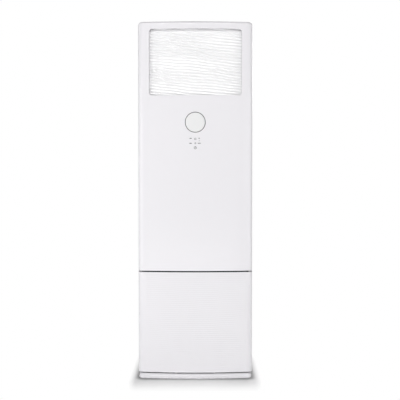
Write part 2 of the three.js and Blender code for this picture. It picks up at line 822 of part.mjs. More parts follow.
const louvreHalf = ductHalf - louvreEndGap;
const louvreLinkX = -louvreHalf + louvreNotch - 3.5 - linkBarWall;

// A blade with pins at its ends, about its own pivot line along X, and a link pin in a notch.
function louvreBlade() {
  const half = louvreChord / 2;
  const swell = louvreThickness - louvreEdge / 2;
  const shape = new THREE.Shape();
  shape.moveTo(-half, -louvreEdge / 2);
  shape.quadraticCurveTo(0, -swell, half, -louvreEdge / 2);
  shape.lineTo(half, louvreEdge / 2);
  shape.quadraticCurveTo(0, swell, -half, louvreEdge / 2);
  const blade = prism('x', shape, -louvreHalf, louvreHalf, 4);
  const notchY = louvreCrank - linkBarWidth / 2 - 6;
  const notch = block(-louvreHalf - 1, -louvreHalf + louvreNotch, notchY, half + 1, -half, half);
  const reach = ductHalf + ductWall - 0.2;
  const pins = rod('x', pivotPinRadius, -reach, -louvreHalf + 6, 0, 0, 8);
  const pinsRight = rod('x', pivotPinRadius, louvreHalf - 6, reach, 0, 0, 8);
  const boss = rod('x', linkPinRadius + 1, -louvreHalf + louvreNotch - 2.5, -louvreHalf + louvreNotch + 4,
    louvreCrank, 0, 6);
  const crank = rod('x', linkPinRadius, louvreLinkX - 1.5, -louvreHalf + louvreNotch + 2, louvreCrank, 0, 6);
  return join(cut(blade, notch), pins, pinsRight, boss, crank);
}

// A bar with one hole for each link pin. Its own origin is the driven blade's link pin.
function linkBar(count, pitch, driven) {
  const low = -driven * pitch;
  const high = (count - 1 - driven) * pitch;
  const half = linkBarWidth / 2;
  let bar = prism('x', roundedRect(-half, half, low - half, high + half, half - 0.2), 0, linkBarWall, 2);
  for (let i = 0; i < count; i += 1) {
    bar = cut(bar, rod('x', linkPinRadius + runningGap, -1, linkBarWall + 1, 0, low + i * pitch, 6));
  }
  return bar;
}

const vaneBottom = ductBottom + vaneEndGap;
const vaneTop = ductTop - vaneEndGap;
const vaneHalf = (vaneTop - vaneBottom) / 2;
const vaneZ = (vaneTop + vaneBottom) / 2;
const vaneLinkZ = -vaneHalf + vaneNotch - 3.5 - linkBarWall;

// An upright vane about its own pivot line along Z, with a link pin in a notch at its foot.
function uprightVane() {
  const half = vaneChord / 2;
  const shape = polygon([
    [-half, -vaneWall / 4], [0, -vaneWall / 2], [half, -vaneWall / 4],
    [half, vaneWall / 4], [0, vaneWall / 2], [-half, vaneWall / 4],
  ].map(([along, across]) => [-across, along]));
  const plate = prism('z', shape, -vaneHalf, vaneHalf);
  const notchY = vaneCrank - linkBarWidth / 2 - 5;
  const notch = block(-half, half, notchY, half + 1, -vaneHalf - 1, -vaneHalf + vaneNotch);
  const reach = vaneHalf + vaneEndGap + ductWall - 0.2;
  const pinLow = rod('z', pivotPinRadius, -reach, -vaneHalf + 6, 0, 0, 8);
  const pinHigh = rod('z', pivotPinRadius, vaneHalf - 6, reach, 0, 0, 8);
  const boss = rod('z', linkPinRadius + 1, -vaneHalf + vaneNotch - 2.5, -vaneHalf + vaneNotch + 5, 0, vaneCrank, 6);
  const crank = rod('z', linkPinRadius, vaneLinkZ - 1.5, -vaneHalf + vaneNotch + 2, 0, vaneCrank, 6);
  return join(cut(plate, notch), pinLow, pinHigh, boss, crank);
}

// ---------------------------------------------------------------- display

function displayBezel() {
  const outer = rod('y', displayRadius, frontY, frontY + displayBezelDepth, 0, displayZ, 40);
  return cut(outer, rod('y', displayRadius - displayBezelWidth, frontY - 1, frontY + beyond, 0, displayZ, 40));
}

const lensRadius = displayRadius - displayBezelWidth - touchGap;
const boardFront = bowY(displayBoardWidth / 2, plasticWall) + touchGap;

function displayLens() {
  const face = frontY + touchGap;
  return rod('y', lensRadius, face, face + displayLensWall, 0, displayZ, 40);
}

// A shallow housing with the circuit in it, behind the disc and the touch marks.
function displayBoard() {
  const half = displayBoardWidth / 2;
  const top = displayZ + displayRadius + displayBoardLap;
  const bottom = top - displayBoardHeight;
  const back = boardFront + displayBoardDepth;
  const housing = prism('y', roundedRect(-half, half, bottom, top, displayBoardCorner), boardFront, back, 2);
  const clear = displayRadius + 2;
  const nest = rod('y', clear, boardFront - 1, frontY + displayBezelDepth + touchGap, 0, displayZ, 40);
  const seat = rod('y', lensRadius - 3, displayBackY() + touchGap, back, 0, displayZ, 32);
  return join(cut(housing, nest), seat);
}

function displayBackY() {
  return frontY + touchGap + displayLensWall;
}

// ---------------------------------------------------------------- blower

const scrollBottomAngle = 270;
const fanX = scrollOffset;
const throatX = fanX + scrollEnd;

function spiralRadius(angle) {
  const share = (angle - scrollTongueAngle) / (360 - scrollTongueAngle);
  return scrollStart + share * (scrollEnd - scrollStart);
}

const fanZ = trayFloor + scrollLift + scrollWall + spiralRadius(scrollBottomAngle);
const throatTop = deckZ - touchGap;

// The throat's inner wall stands over the tongue, where the spiral starts.
const tongueX = fanX + scrollStart * Math.cos(THREE.MathUtils.degToRad(scrollTongueAngle));

// The volute's outline in (x, z), moved outwards by grow: a spiral, then a throat straight up.
function scrollOutline(grow, top) {
  const points = [];
  const steps = 30;
  const start = THREE.MathUtils.radToDeg(Math.acos((tongueX - grow - fanX) / (scrollStart + grow)));
  for (let i = 0; i <= steps; i += 1) {
    const degrees = start + (i / steps) * (360 - start);
    const angle = THREE.MathUtils.degToRad(degrees);
    const radius = spiralRadius(degrees) + grow;
    points.push([fanX + radius * Math.cos(angle), fanZ + radius * Math.sin(angle)]);
  }
  points.push([throatX + grow, top]);
  points.push([tongueX - grow, top]);
  return polygon(points);
}

function scrollHousing() {
  const rear = scrollFront + scrollDepth;
  const outer = prism('y', scrollOutline(scrollWall, throatTop), scrollFront, rear);
  const inner = prism('y', scrollOutline(0, throatTop + beyond), scrollFront + scrollWall, rear - scrollWall);
  // The hole's flats, not its corners, clear the round neck of the inlet ring.
  const inletHole = (inletRadius + inletRingWall + touchGap) / Math.cos(Math.PI / inletSides);
  const inlet = rod('y', inletHole, scrollFront - 1, scrollFront + scrollWall + 1, fanX, fanZ, inletSides);
  const rearHole = rod('y', shaftRadius + 6, rear - scrollWall - 1, rear + 1, fanX, fanZ);
  const footTop = fanZ - Math.sqrt(scrollStart ** 2 - (scrollFootSpread + scrollFootWidth / 2) ** 2);
  const foot = (x) => block(x - scrollFootWidth / 2, x + scrollFootWidth / 2, scrollFront, rear,
    trayFloor + touchGap, footTop);
  const feet = join(foot(fanX - scrollFootSpread), foot(fanX + scrollFootSpread));
  return cut(join(outer, feet), inner, inlet, rearHole);
}

// The bell mouth turns round the fan axis. Its outer lip lies on the front of the scroll.
function inletRing() {
  const wall = inletRingWall;
  const bore = inletRadius;
  const profile = [
    [bore, inletLip + wall], [bore, 5], [bore + 2, 1.5], [bore + 6, 0], [bore + 16, 0],
    [bore + 16, wall], [bore + wall, wall], [bore + wall, inletLip + wall], [bore, inletLip + wall],
  ].map(([r, y]) => new THREE.Vector2(r, y));
  return solidOf(new THREE.LatheGeometry(profile, inletSides));
}

const wheelFront = scrollFront + scrollWall + inletLip + 3;

// A drum of forward curved blades between a disc and a ring, along Y from its own front.
function fanWheel() {
  const disc = rod('y', wheelRadius, wheelWidth - wheelDisc, wheelWidth, 0, 0, 48);
  const ring = cut(rod('y', wheelRadius, 0, 5, 0, 0, 48), rod('y', wheelRadius - 8, -1, 6, 0, 0, 48));
  const half = wheelBladeWall / 2;
  const middle = (wheelInner + wheelRadius) / 2;
  const curve = 9;
  let wheel = join(disc, ring);
  for (let i = 0; i < wheelBlades; i += 1) {
    const turn = (i / wheelBlades) * 2 * Math.PI;
    const place = ([r, s]) => [r * Math.cos(turn) - s * Math.sin(turn), r * Math.sin(turn) + s * Math.cos(turn)];
    const outline = [
      [wheelInner, curve - half], [middle, -half], [wheelRadius - 1, curve - half],
      [wheelRadius - 1, curve + half], [middle, half], [wheelInner, curve + half],
    ].map(place);
    wheel = join(wheel, prism('y', polygon(outline), 1, wheelWidth - 1));
  }
  const hub = rod('y', wheelHubRadius, wheelWidth - wheelHubLength, wheelWidth, 0, 0, 20);
  const bore = rod('y', shaftRadius + runningGap, wheelWidth - wheelHubLength - 1, wheelWidth + 1, 0, 0, 16);
  return cut(join(wheel, hub), bore);
}

const motorFront = scrollFront + scrollDepth + fanMotorGap;
const shaftInMotor = 14;

function fanShaft() {
  const start = wheelFront + wheelWidth - wheelHubLength - 6;
  return rod('y', shaftRadius, start, motorFront + shaftInMotor - touchGap, fanX, fanZ, 16);
}

function fanMotor() {
  const body = rod('y', fanMotorRadius, motorFront + 4, motorFront + fanMotorLength - 4, fanX, fanZ, 32);
  const cap = rod('y', fanMotorRadius - 12, motorFront, motorFront + fanMotorLength, fanX, fanZ, 32);
  const bore = rod('y', shaftRadius + runningGap, motorFront - 1, motorFront + shaftInMotor, fanX, fanZ, 16);
  return cut(join(body, cap), bore);
}

// Two saddle plates on a foot plate carry the motor from the tray floor.
function motorBracket() {
  const half = bracketWidth / 2;
  const floor = trayFloor + touchGap;
  const y0 = motorFront + bracketInset;
  const y1 = motorFront + fanMotorLength - bracketInset;
  const foot = block(fanX - half, fanX + half, y0, y1, floor, floor + bracketWall);
  const top = fanZ - bracketDrop;
  const front = block(fanX - half, fanX + half, y0, y0 + bracketWall, floor, top);
  const rear = block(fanX - half, fanX + half, y1 - bracketWall, y1, floor, top);
  const saddle = rod('y', fanMotorRadius + touchGap, y0 - 1, y1 + 1, fanX, fanZ, 32);
  return cut(join(foot, front, rear), saddle);
}

// ---------------------------------------------------------------- deck, coil and drain

// A plate across the cabinet. Its apron runs on forwards between the side panels' front returns.
function fanDeck() {
  const side = sideInner - touchGap;
  const front = sheetFrontY + sheetWall + touchGap;
  const rear = rearInner - rearFold - touchGap;
  const plate = block(-side, side, front, rear, deckZ, deckTop);
  const apronHalf = halfWidth - frontReturn - touchGap;
  const apron = block(-apronHalf, apronHalf, flangeFront, front + 1, deckZ, deckTop);
  const throat = block(tongueX, throatX, scrollFront + scrollWall,
    scrollFront + scrollDepth - scrollWall, deckZ - 1, deckTop + 1);
  const pipeNotch = block(deckNotchX, side + 1, deckNotchFront, deckNotchRear, deckZ - 1, deckTop + 1);
  return cut(join(plate, apron).intersect(cabinetBody(sheetWall + touchGap)), throat, pipeNotch);
}

const tilt = THREE.MathUtils.degToRad(coilTilt);
const coilFootZ = deckTop + coilFootRise;
const coilLeft = coilShift - coilWidth / 2;
const coilRight = coilShift + coilWidth / 2;

// A point of the coil's side view in (y, z): along its length, and across its thickness.
function coilPoint(along, across) {
  return [
    coilFootY + along * Math.sin(tilt) + across * Math.cos(tilt),
    coilFootZ + along * Math.cos(tilt) - across * Math.sin(tilt),
  ];
}

function coilCore() {
  return block(-coilWidth / 2, coilWidth / 2, -coilThickness / 2, coilThickness / 2, 0, coilLength);
}

const panFloor = deckTop + touchGap;

// An end plate: the coil's outline with a foot in the drain pan and an arm to the rear panel.
function coilPlate(x0) {
  const half = coilThickness / 2 + plateMargin;
  const low = -plateMargin;
  const high = coilLength + plateMargin;
  const lowFront = coilPoint(low, -half);
  const lowRear = coilPoint(low, half);
  const highRear = coilPoint(high, half);
  const highFront = coilPoint(high, -half);
  const footZ = panFloor + panWall + touchGap;
  const armY = rearInner - touchGap;
  const outline = polygon([
    [coilFootY - plateFoot / 2, footZ], [coilFootY + plateFoot / 2, footZ], lowRear, highRear,
    [armY, highRear[1] - 20], [armY, highFront[1]], highFront, lowFront,
  ]);
  return prism('x', outline, x0, x0 + sheetWall);
}

// A bend of the coil's tube, out of the plate and back into it one pitch further on.
function returnBend(x0, along) {
  const radius = bendPitch / 2;
  const lead = 3;
  const points = [[x0, ...coilPoint(along - radius, 0)]];
  const steps = 6;
  for (let i = 0; i <= steps; i += 1) {
    const angle = -Math.PI / 2 + (i / steps) * Math.PI;
    points.push([x0 + lead + radius * Math.cos(angle), ...coilPoint(along + radius * Math.sin(angle), 0)]);
  }
  points.push([x0, ...coilPoint(along + radius, 0)]);
  return tube(points, bendTube, 10, 6);
}

function coilPlateRight() {
  const x0 = coilRight + touchGap;
  let plate = coilPlate(x0);
  const spacing = coilLength / bendCount;
  for (let i = 0; i < bendCount; i += 1) {
    plate = join(plate, returnBend(x0 + sheetWall / 2, (i + 0.5) * spacing));
  }
  return plate;
}

function drainPan() {
  const rear = panFrontY + panDepth;
  const outer = block(-panLeft, panRight, panFrontY, rear, panFloor, panFloor + panHeight);
  const inner = block(-panLeft + panWall, panRight - panWall, panFrontY + panWall, rear - panWall,
    panFloor + panWall, panFloor + panHeight + 1);
  const spout = rod('x', hoseRadius - 3, panRight - panWall - 1, panRight + 1, hoseY, hoseZ, 10);
  return cut(outer, inner, spout);
}

const hoseY = panFrontY + panDepth / 2;
const hoseZ = panFloor + panWall + hoseRadius;
const pipeEndY = rearInner - pipeEndGap;

function drainHose() {
  const x = panRight + touchGap;
  const out = x + hoseReach;
  const endZ = pipeHoleZ - hoseHoleDrop;
  const kneeY = hoseY + hoseReach + hoseRadius;
  return tube([
    [x, hoseY, hoseZ], [x + hoseRadius, hoseY, hoseZ], [out, hoseY, hoseZ - hoseReach],
    [out, hoseY, hoseZ - hoseDrop], [out, hoseY, hoseMidHeight], [x + hoseRadius, kneeY, hoseTurnHeight],
    [x, (hoseY + pipeEndY) / 2 - hoseDrop / 2, hoseFootHeight], [pipeHoleX + hoseRadius, pipeEndY - hoseRearRun, endZ],
    [pipeHoleX, pipeEndY - 2 * hoseRadius, endZ], [pipeHoleX, pipeEndY, endZ],
  ], hoseRadius, 30, 6);
}

// A copper pipe from the coil's right plate down to its flare nut at the rear opening.
function refrigerantPipe(radius, startAlong, x, y, endX) {
  const [startY, startZ] = coilPoint(startAlong, 0);
  const plateFace = coilRight + touchGap + sheetWall + touchGap;
  const endZ = pipeHoleZ + pipeEndRise;
  const nutEnd = pipeEndY - flareTail;
  const pipe = tube([
    [plateFace, startY, startZ], [plateFace + pipeLead, startY, startZ],
    [x - pipeShoulder, startY, startZ - pipeShoulder / 2], [x, startY, startZ - pipeShoulderDrop],
    [x, y, deckZ + pipeAboveDeck], [x, y, deckZ - pipeBelowDeck], [x, y, pipeKneeHeight],
    [x, y + pipeLead, endZ + pipeKneeRise], [(x + endX) / 2, y + pipeSweep, endZ],
    [endX, pipeEndY - pipeTail, endZ], [endX, nutEnd, endZ], [endX, pipeEndY, endZ],
  ], radius, 34, 6);
  const nutRadius = (flareNutRadius * (radius / gasPipeRadius + 1)) / 2;
  const nut = rod('y', nutRadius, nutEnd - flareNutLength, nutEnd, endX, endZ, 6);
  return join(pipe, nut);
}

function ductBoard() {
  const top = windowBottom - boardTopDrop;
  return block(-ductFlangeSide, ductFlangeSide, flangeFront, flangeFront + boardWall, deckTop + touchGap, top);
}

// ---------------------------------------------------------------- rear fittings

// A rubber ring in the pipe opening, with a lip on the inner face of the panel.
function pipeGrommet() {
  const outer = pipeHoleRadius - touchGap;
  const front = rearInner - grommetDepth;
  const ring = rod('y', outer, front, rearY, pipeHoleX, pipeHoleZ, 24);
  const lip = rod('y', pipeHoleRadius + grommetLip, front, rearInner - touchGap, pipeHoleX, pipeHoleZ, 24);
  const bore = rod('y', outer - grommetWall, rearInner - beyond, rearY + 1, pipeHoleX, pipeHoleZ, 24);
  return cut(join(ring, lip), bore);
}

// A screwed gland for the supply lead: a body in the hole and a nut inside the rear panel.
function cableGland() {
  const body = rod('y', glandRadius, rearInner - glandLength, rearY, glandX, glandZ, 16);
  const nut = rod('y', glandRadius + glandNutReach, rearInner - glandNutDepth, rearInner - touchGap,
    glandX, glandZ, 6);
  const bore = rod('y', glandRadius - glandWall, rearInner - glandLength - 1, rearY + 1, glandX, glandZ, 12);
  return cut(join(body, nut), bore);
}

// ---------------------------------------------------------------- electrics

const controlX0 = controlShift - controlWidth / 2;
const controlX1 = controlShift + controlWidth / 2;
const controlZ1 = deckZ - touchGap;
const controlZ0 = controlZ1 - controlHeight;

function controlBox() {
  const outer = block(controlX0, controlX1, controlY0, controlY0 + controlDepth, controlZ0, controlZ1);
  const inner = block(controlX0 + sheetWall, controlX1 - sheetWall, controlY0 - 1,
    controlY0 + controlDepth - sheetWall, controlZ0 + sheetWall, controlZ1 - sheetWall);
  return cut(outer, inner);
}

function controlBoxLid() {
  const face = controlY0 - touchGap;
  return block(controlX0, controlX1, face - sheetWall, face, controlZ0, controlZ1);
}

// The circuit board stands on four posts and carries its parts and a terminal block.
function controlBoard() {
  const back = controlY0 + controlDepth - sheetWall - touchGap;
  const y1 = back - boardStandoff;
  const y0 = y1 - circuitWall;
  const x0 = controlX0 + boardMargin;
  const x1 = controlX1 - boardMargin;
  const z0 = controlZ0 + boardMargin;
  const z1 = controlZ1 - boardMargin;
  let board = block(x0, x1, y0, y1, z0, z1);
  for (const x of [x0 + postInset, x1 - postInset]) {
    for (const z of [z0 + postInset, z1 - postInset]) {
      board = join(board, rod('y', postRadius, y1 - 0.5, back, x, z, 8));
    }
  }
  const part = (x, z, width, height, depth) => block(x, x + width, y0 - depth, y0 + 0.5, z, z + height);
  const fromLeft = ([x, z, ...size]) => part(x0 + x, z0 + z, ...size);
  const fromRight = ([x, z, ...size]) => part(x1 - x, z0 + z, ...size);
  const can = (radius, length, [x, z], sides) => rod('y', radius, y0 - length, y0 + 0.5, x1 - x, z0 + z, sides);
  return join(
    board,
    fromLeft(terminalBlock),
    fromLeft(transformerBlock),
    ...relayBlocks.map(fromLeft),
    fromRight(heatSinkBlock),
    can(capacitorRadius, capacitorLength, capacitorPlace, 16),
    can(smallCapacitorRadius, smallCapacitorLength, smallCapacitorPlace, 12),
  );
}

// ---------------------------------------------------------------- assembly

const finishes = {
  glossWhite: { color: 0xf0eff2, roughness: 0.22, metalness: 0 },
  paintedWhite: { color: 0xedecef, roughness: 0.4, metalness: 0 },
  doorWhite: { color: 0xf7f7f8, roughness: 0.25, metalness: 0 },
  louvreWhite: { color: 0xe4e5e8, roughness: 0.45, metalness: 0 },
  darkPlastic: { color: 0x55575c, roughness: 0.35, metalness: 0 },
  lensWhite: { color: 0xf1f1f1, roughness: 0.1, metalness: 0 },
  zincSteel: { color: 0xa9adb1, roughness: 0.45, metalness: 0.8 },
  darkSteel: { color: 0x2b2c2e, roughness: 0.6, metalness: 0.3 },
  blackPlastic: { color: 0x26272a, roughness: 0.55, metalness: 0 },
  acetal: { color: 0xd9d6cd, roughness: 0.45, metalness: 0 },
  fins: { color: 0xb9c4cc, roughness: 0.4, metalness: 0.9 },
  copper: { color: 0xb87348, roughness: 0.3, metalness: 1 },
  foam: { color: 0xd9dadc, roughness: 0.95, metalness: 0 },
  hose: { color: 0xcfd0cf, roughness: 0.6, metalness: 0 },
  rubber: { color: 0x1f2022, roughness: 0.85, metalness: 0 },
  mesh: { color: 0x6f7d88, roughness: 0.8, metalness: 0 },
  circuit: { color: 0x2f6b46, roughness: 0.5, metalness: 0 },
};

const airConditioner = new THREE.Group();

function addPiece(group, name, solid, finish, x = 0, y = 0, z = 0) {
  const mesh = new THREE.Mesh(geometryOf(solid), new THREE.MeshStandardMaterial(finishes[finish]));
  mesh.name = name;
  mesh.position.set(x, y, z);
  group.add(mesh);
  return mesh;
}

function addGroup(parent = airConditioner) {
  const group = new THREE.Group();
  parent.add(group);
  return group;
}

function buildCabinet() {
  const cabinet = addGroup();
  addPiece(cabinet, 'base_plinth', basePlinth(), 'glossWhite');
  addPiece(cabinet, 'base_tray', baseTray(), 'zincSteel');
  addPiece(cabinet, 'panel_hinge_left', panelHinge(-1), 'acetal');
  addPiece(cabinet, 'panel_hinge_right', panelHinge(1), 'acetal');
  addPiece(cabinet, 'upper_front_panel', upperFrontPanel(), 'glossWhite');
  addPiece(cabinet, 'lower_front_panel', lowerFrontPanel(), 'glossWhite');
  addPiece(cabinet, 'side_panel_left', sidePanel(-1), 'paintedWhite');
  addPiece(cabinet, 'side_panel_right', sidePanel(1), 'paintedWhite');
  addPiece(cabinet, 'rear_panel', rearPanel(), 'paintedWhite');
  addPiece(cabinet, 'top_cover', topCover(), 'glossWhite');
  addPiece(cabinet, 'mid_crossbar', midCrossbar(), 'darkSteel');
  addPiece(cabinet, 'intake_grille_left', intakeGrille(-1), 'glossWhite');
  addPiece(cabinet, 'intake_grille_right', intakeGrille(1), 'glossWhite');
  addPiece(cabinet, 'filter_left', intakeFilter(-1), 'mesh');
  addPiece(cabinet, 'filter_right', intakeFilter(1), 'mesh');
  addPiece(cabinet, 'pipe_grommet', pipeGrommet(), 'rubber');
  addPiece(cabinet, 'cable_gland', cableGland(), 'blackPlastic');
}

function buildDoor() {
  const door = addGroup();
  addPiece(door, 'outlet_door', outletDoor(), 'doorWhite');
  addPiece(door, 'door_rack', doorRack(), 'acetal');
  addPiece(door, 'door_rail_left', doorRail(-1), 'acetal');
  addPiece(door, 'door_rail_right', doorRail(1), 'acetal');
  const drive = addGroup(door);
  drive.position.set(0, pinionY, pinionZ);
  addPiece(drive, 'door_pinion', doorPinion(), 'acetal', rackRight - rackWidth / 2);
  const motor = gearedMotor(rackRight - touchGap - (motorMountX() - touchGap));
  const doorMotor = addPiece(drive, 'door_motor', motor, 'zincSteel', motorMountX() - touchGap);
  // The ears stand upright, so that the door clears them as it slides past.
  doorMotor.rotation.x = Math.PI / 2;
}

function buildOutlet() {
  const outlet = addGroup();
  addPiece(outlet, 'outlet_frame', outletFrame(), 'louvreWhite');
  const louvres = addGroup(outlet);
  louvres.position.set(0, louvreY, 0);
  for (let i = 0; i < louvreCount; i += 1) {
    addPiece(louvres, `louvre_${i + 1}`, louvreBlade(), 'louvreWhite', 0, 0, louvreZ(i));
  }
  const link = linkBar(louvreCount, louvrePitch, drivenLouvre);
  addPiece(louvres, 'louvre_link', link, 'acetal', louvreLinkX, louvreCrank, louvreZ(drivenLouvre));
  const motorX = -ductHalf - ductWall - touchGap;
  addPiece(louvres, 'louvre_motor', gearedMotor(0), 'zincSteel', motorX, 0, louvreZ(drivenLouvre));
  const vanes = addGroup(outlet);
  vanes.position.set(0, vaneY, vaneZ);
  for (let i = 0; i < vaneCount; i += 1) {
    addPiece(vanes, `vane_${i + 1}`, uprightVane(), 'louvreWhite', vaneX(i), 0, 0);
  }
  const bar = linkBar(vaneCount, vanePitch, 0);
  const vaneLink = addPiece(vanes, 'vane_link', bar, 'acetal', vaneX(0), vaneCrank, vaneLinkZ + linkBarWall);
  vaneLink.rotation.y = Math.PI / 2;
  const motorDrop = -vaneHalf - vaneEndGap - ductWall - touchGap;
  const vaneMotor = addPiece(vanes, 'vane_motor', gearedMotor(0), 'zincSteel', vaneX(0), 0, motorDrop);
  vaneMotor.rotation.y = -Math.PI / 2;
}

function buildDisplay() {
  const display = addGroup();
  addPiece(display, 'display_bezel', displayBezel(), 'darkPlastic');
  addPiece(display, 'display_lens', displayLens(), 'lensWhite');
  addPiece(display, 'display_board', displayBoard(), 'blackPlastic');
}

function buildCoil() {
  const coil = addGroup();
  const core = addPiece(coil, 'coil_core', coilCore(), 'fins', coilShift, coilFootY, coilFootZ);
  core.rotation.x = -tilt;
  addPiece(coil, 'coil_plate_left', coilPlate(coilLeft - touchGap - sheetWall), 'zincSteel');
  addPiece(coil, 'coil_plate_right', coilPlateRight(), 'zincSteel');
  addPiece(coil, 'drain_pan', drainPan(), 'foam');
  addPiece(coil, 'drain_hose', drainHose(), 'hose');
  const gasX = halfWidth - gasPipeMargin;
  const gas = refrigerantPipe(gasPipeRadius, coilLength / bendCount, gasX, gasPipeY, pipeHoleX + gasPipeEnd);
  addPiece(coil, 'gas_pipe', gas, 'copper');
  const liquidX = halfWidth - liquidPipeMargin;
  const liquid = refrigerantPipe(liquidPipeRadius, liquidPipeStart, liquidX, liquidPipeY,
    pipeHoleX + liquidPipeEnd);
  addPiece(coil, 'liquid_pipe', liquid, 'copper');
  addPiece(coil, 'duct_board', ductBoard(), 'foam');
}

function buildBlower() {
  const blower = addGroup();
  addPiece(blower, 'fan_deck', fanDeck(), 'zincSteel');
  addPiece(blower, 'scroll_housing', scrollHousing(), 'zincSteel');
  const ringY = scrollFront - inletRingWall - touchGap;
  addPiece(blower, 'inlet_ring', inletRing(), 'blackPlastic', fanX, ringY, fanZ);
  addPiece(blower, 'fan_wheel', fanWheel(), 'blackPlastic', fanX, wheelFront, fanZ);
  addPiece(blower, 'fan_shaft', fanShaft(), 'zincSteel');
  addPiece(blower, 'fan_motor', fanMotor(), 'zincSteel');
  addPiece(blower, 'motor_bracket', motorBracket(), 'zincSteel');
}

function buildElectrics() {
  const electrics = addGroup();
  addPiece(electrics, 'control_box', controlBox(), 'zincSteel');
  addPiece(electrics, 'control_box_lid', controlBoxLid(), 'zincSteel');
  addPiece(electrics, 'control_board', controlBoard(), 'circuit');
}

buildCabinet();
buildDoor();
buildOutlet();
buildDisplay();
buildCoil();
buildBlower();
buildElectrics();

export default airConditioner;
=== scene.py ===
# %% [markdown]
# # A floor standing air conditioner
# The cabinet is a tall white box with a gently bowed plastic front. This lesson dresses
# the plain solids of its frame: smooth skins, a rippled sliding door and a display, and
# then a finish for every piece.
# The frame holds every size and every joint, so each new piece is laid over its solid.

# %% The frame and what it measures
import math
import bmesh
import bpy
from mathutils import Matrix, Vector, noise


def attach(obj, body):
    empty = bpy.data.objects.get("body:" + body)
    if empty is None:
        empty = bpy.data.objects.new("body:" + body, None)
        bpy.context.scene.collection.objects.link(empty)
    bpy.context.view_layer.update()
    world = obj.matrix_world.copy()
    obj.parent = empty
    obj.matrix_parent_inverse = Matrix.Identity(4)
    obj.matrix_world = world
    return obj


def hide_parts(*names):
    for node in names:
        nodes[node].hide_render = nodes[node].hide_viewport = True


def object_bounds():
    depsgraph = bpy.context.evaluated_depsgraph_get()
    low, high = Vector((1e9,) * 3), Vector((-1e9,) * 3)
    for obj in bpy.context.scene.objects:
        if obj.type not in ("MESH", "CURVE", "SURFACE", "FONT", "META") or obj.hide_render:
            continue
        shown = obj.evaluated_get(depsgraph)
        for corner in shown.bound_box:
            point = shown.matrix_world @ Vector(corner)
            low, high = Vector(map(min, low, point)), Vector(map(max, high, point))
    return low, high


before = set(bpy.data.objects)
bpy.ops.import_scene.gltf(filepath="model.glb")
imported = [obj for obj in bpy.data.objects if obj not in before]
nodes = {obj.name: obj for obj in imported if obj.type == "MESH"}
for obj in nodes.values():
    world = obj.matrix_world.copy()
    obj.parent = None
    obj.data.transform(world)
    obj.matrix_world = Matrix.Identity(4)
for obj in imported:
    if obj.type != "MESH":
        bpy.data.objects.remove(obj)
cad_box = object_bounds()
print("its box in metres:", [[round(c, 4) for c in corner] for corner in cad_box])

# %% [markdown]
# ## Camera
# The photograph is taken from about four metres, a little above the cabinet's middle, so
# its upright edges stay nearly parallel. The camera looks down by a degree and a half,
# which makes the top a little wider than the foot, as in the photograph.

# %% Camera
FRONT_Y = cad_box[0][1]
LENS, ASIDE, DISTANCE, EYE_HEIGHT, LOOK_DOWN = 70.2, 0.0242, 4.0, 1.035, 1.56
camera_data = bpy.data.cameras.new("camera")
camera_data.sensor_width = 36
camera_data.lens = LENS
camera = bpy.data.objects.new("camera", camera_data)
camera.location = (ASIDE, FRONT_Y - DISTANCE, EYE_HEIGHT)
camera.rotation_euler = (math.radians(90 - LOOK_DOWN), 0, 0)
bpy.context.collection.objects.link(camera)
bpy.context.scene.camera = camera
print("camera", round(-camera.location.y, 3), "m in front of the origin")

# %% [markdown]
# ## Shader sums
# Shader maths reads best as plain sums. A Wire holds one socket and adds a Math node for
# each operator, and a Finish holds one material and makes any other node in one call.

# %% A socket that takes part in sums
class Wire:
    def __init__(self, finish, socket):
        self.finish = finish
        self.socket = socket

    def sum(self, operation, first, second=None):
        node = self.finish.tree.nodes.new("ShaderNodeMath")
        node.operation = operation
        for place, value in enumerate((first, second)):
            if value is not None:
                self.finish.feed(node.inputs[place], value)
        return Wire(self.finish, node.outputs[0])

    def __add__(self, other):
        return self.sum("ADD", self, other)

    def __sub__(self, other):
        return self.sum("SUBTRACT", self, other)

    def __rsub__(self, other):
        return self.sum("SUBTRACT", other, self)

    def __mul__(self, other):
        return self.sum("MULTIPLY", self, other)

    def __pow__(self, other):
        return self.sum("POWER", self, other)


# %% A material under construction
class Finish:
    def __init__(self, name, **constants):
        self.material = bpy.data.materials.new(name)
        self.material.use_nodes = True
        self.tree = self.material.node_tree
        self.shader = self.tree.nodes["Principled BSDF"]
        for socket, value in constants.items():
            self.shader.inputs[socket.replace("_", " ")].default_value = value
        self.place = self.node("ShaderNodeTexCoord").outputs["Object"]

    def feed(self, socket, value):
        if isinstance(value, Wire):
            value = value.socket
        if isinstance(value, bpy.types.NodeSocket):
            self.tree.links.new(value, socket)
        else:
            socket.default_value = value

    def node(self, kind, settings=None, **inputs):
        node = self.tree.nodes.new(kind)
        for key, value in (settings or {}).items():
            setattr(node, key, value)
        for key, value in inputs.items():
            self.feed(node.inputs[key.replace("_", " ")], value)
        return node

    def noise(self, scale, detail=2.0):
        node = self.node("ShaderNodeTexNoise", Vector=self.place, Scale=scale, Detail=detail)
        return Wire(self, node.outputs["Fac"])

    def cells(self, scale):
        node = self.node("ShaderNodeTexVoronoi", Vector=self.place, Scale=scale)
        return Wire(self, node.outputs["Distance"])

    def wave(self, scale, direction):
        settings = {"bands_direction": direction}
        node = self.node("ShaderNodeTexWave", settings, Vector=self.place, Scale=scale)
        return Wire(self, node.outputs["Fac"])

    def blend(self, share, first, second):
        node = self.node("ShaderNodeMix", {"data_type": "RGBA"})
        self.feed(node.inputs[0], share)
        self.feed(node.inputs[6], (*first, 1))
        self.feed(node.inputs[7], (*second, 1))
        self.tree.links.new(node.outputs[2], self.shader.inputs["Base Color"])
        return self

    def rough(self, value):
        self.feed(self.shader.inputs["Roughness"], value)
        return self

    def relief(self, height, distance):
        bump = self.node("ShaderNodeBump", Height=height, Distance=distance, Strength=1.0)
        self.tree.links.new(bump.outputs[0], self.shader.inputs["Normal"])
        return self


print("shader helpers ready")

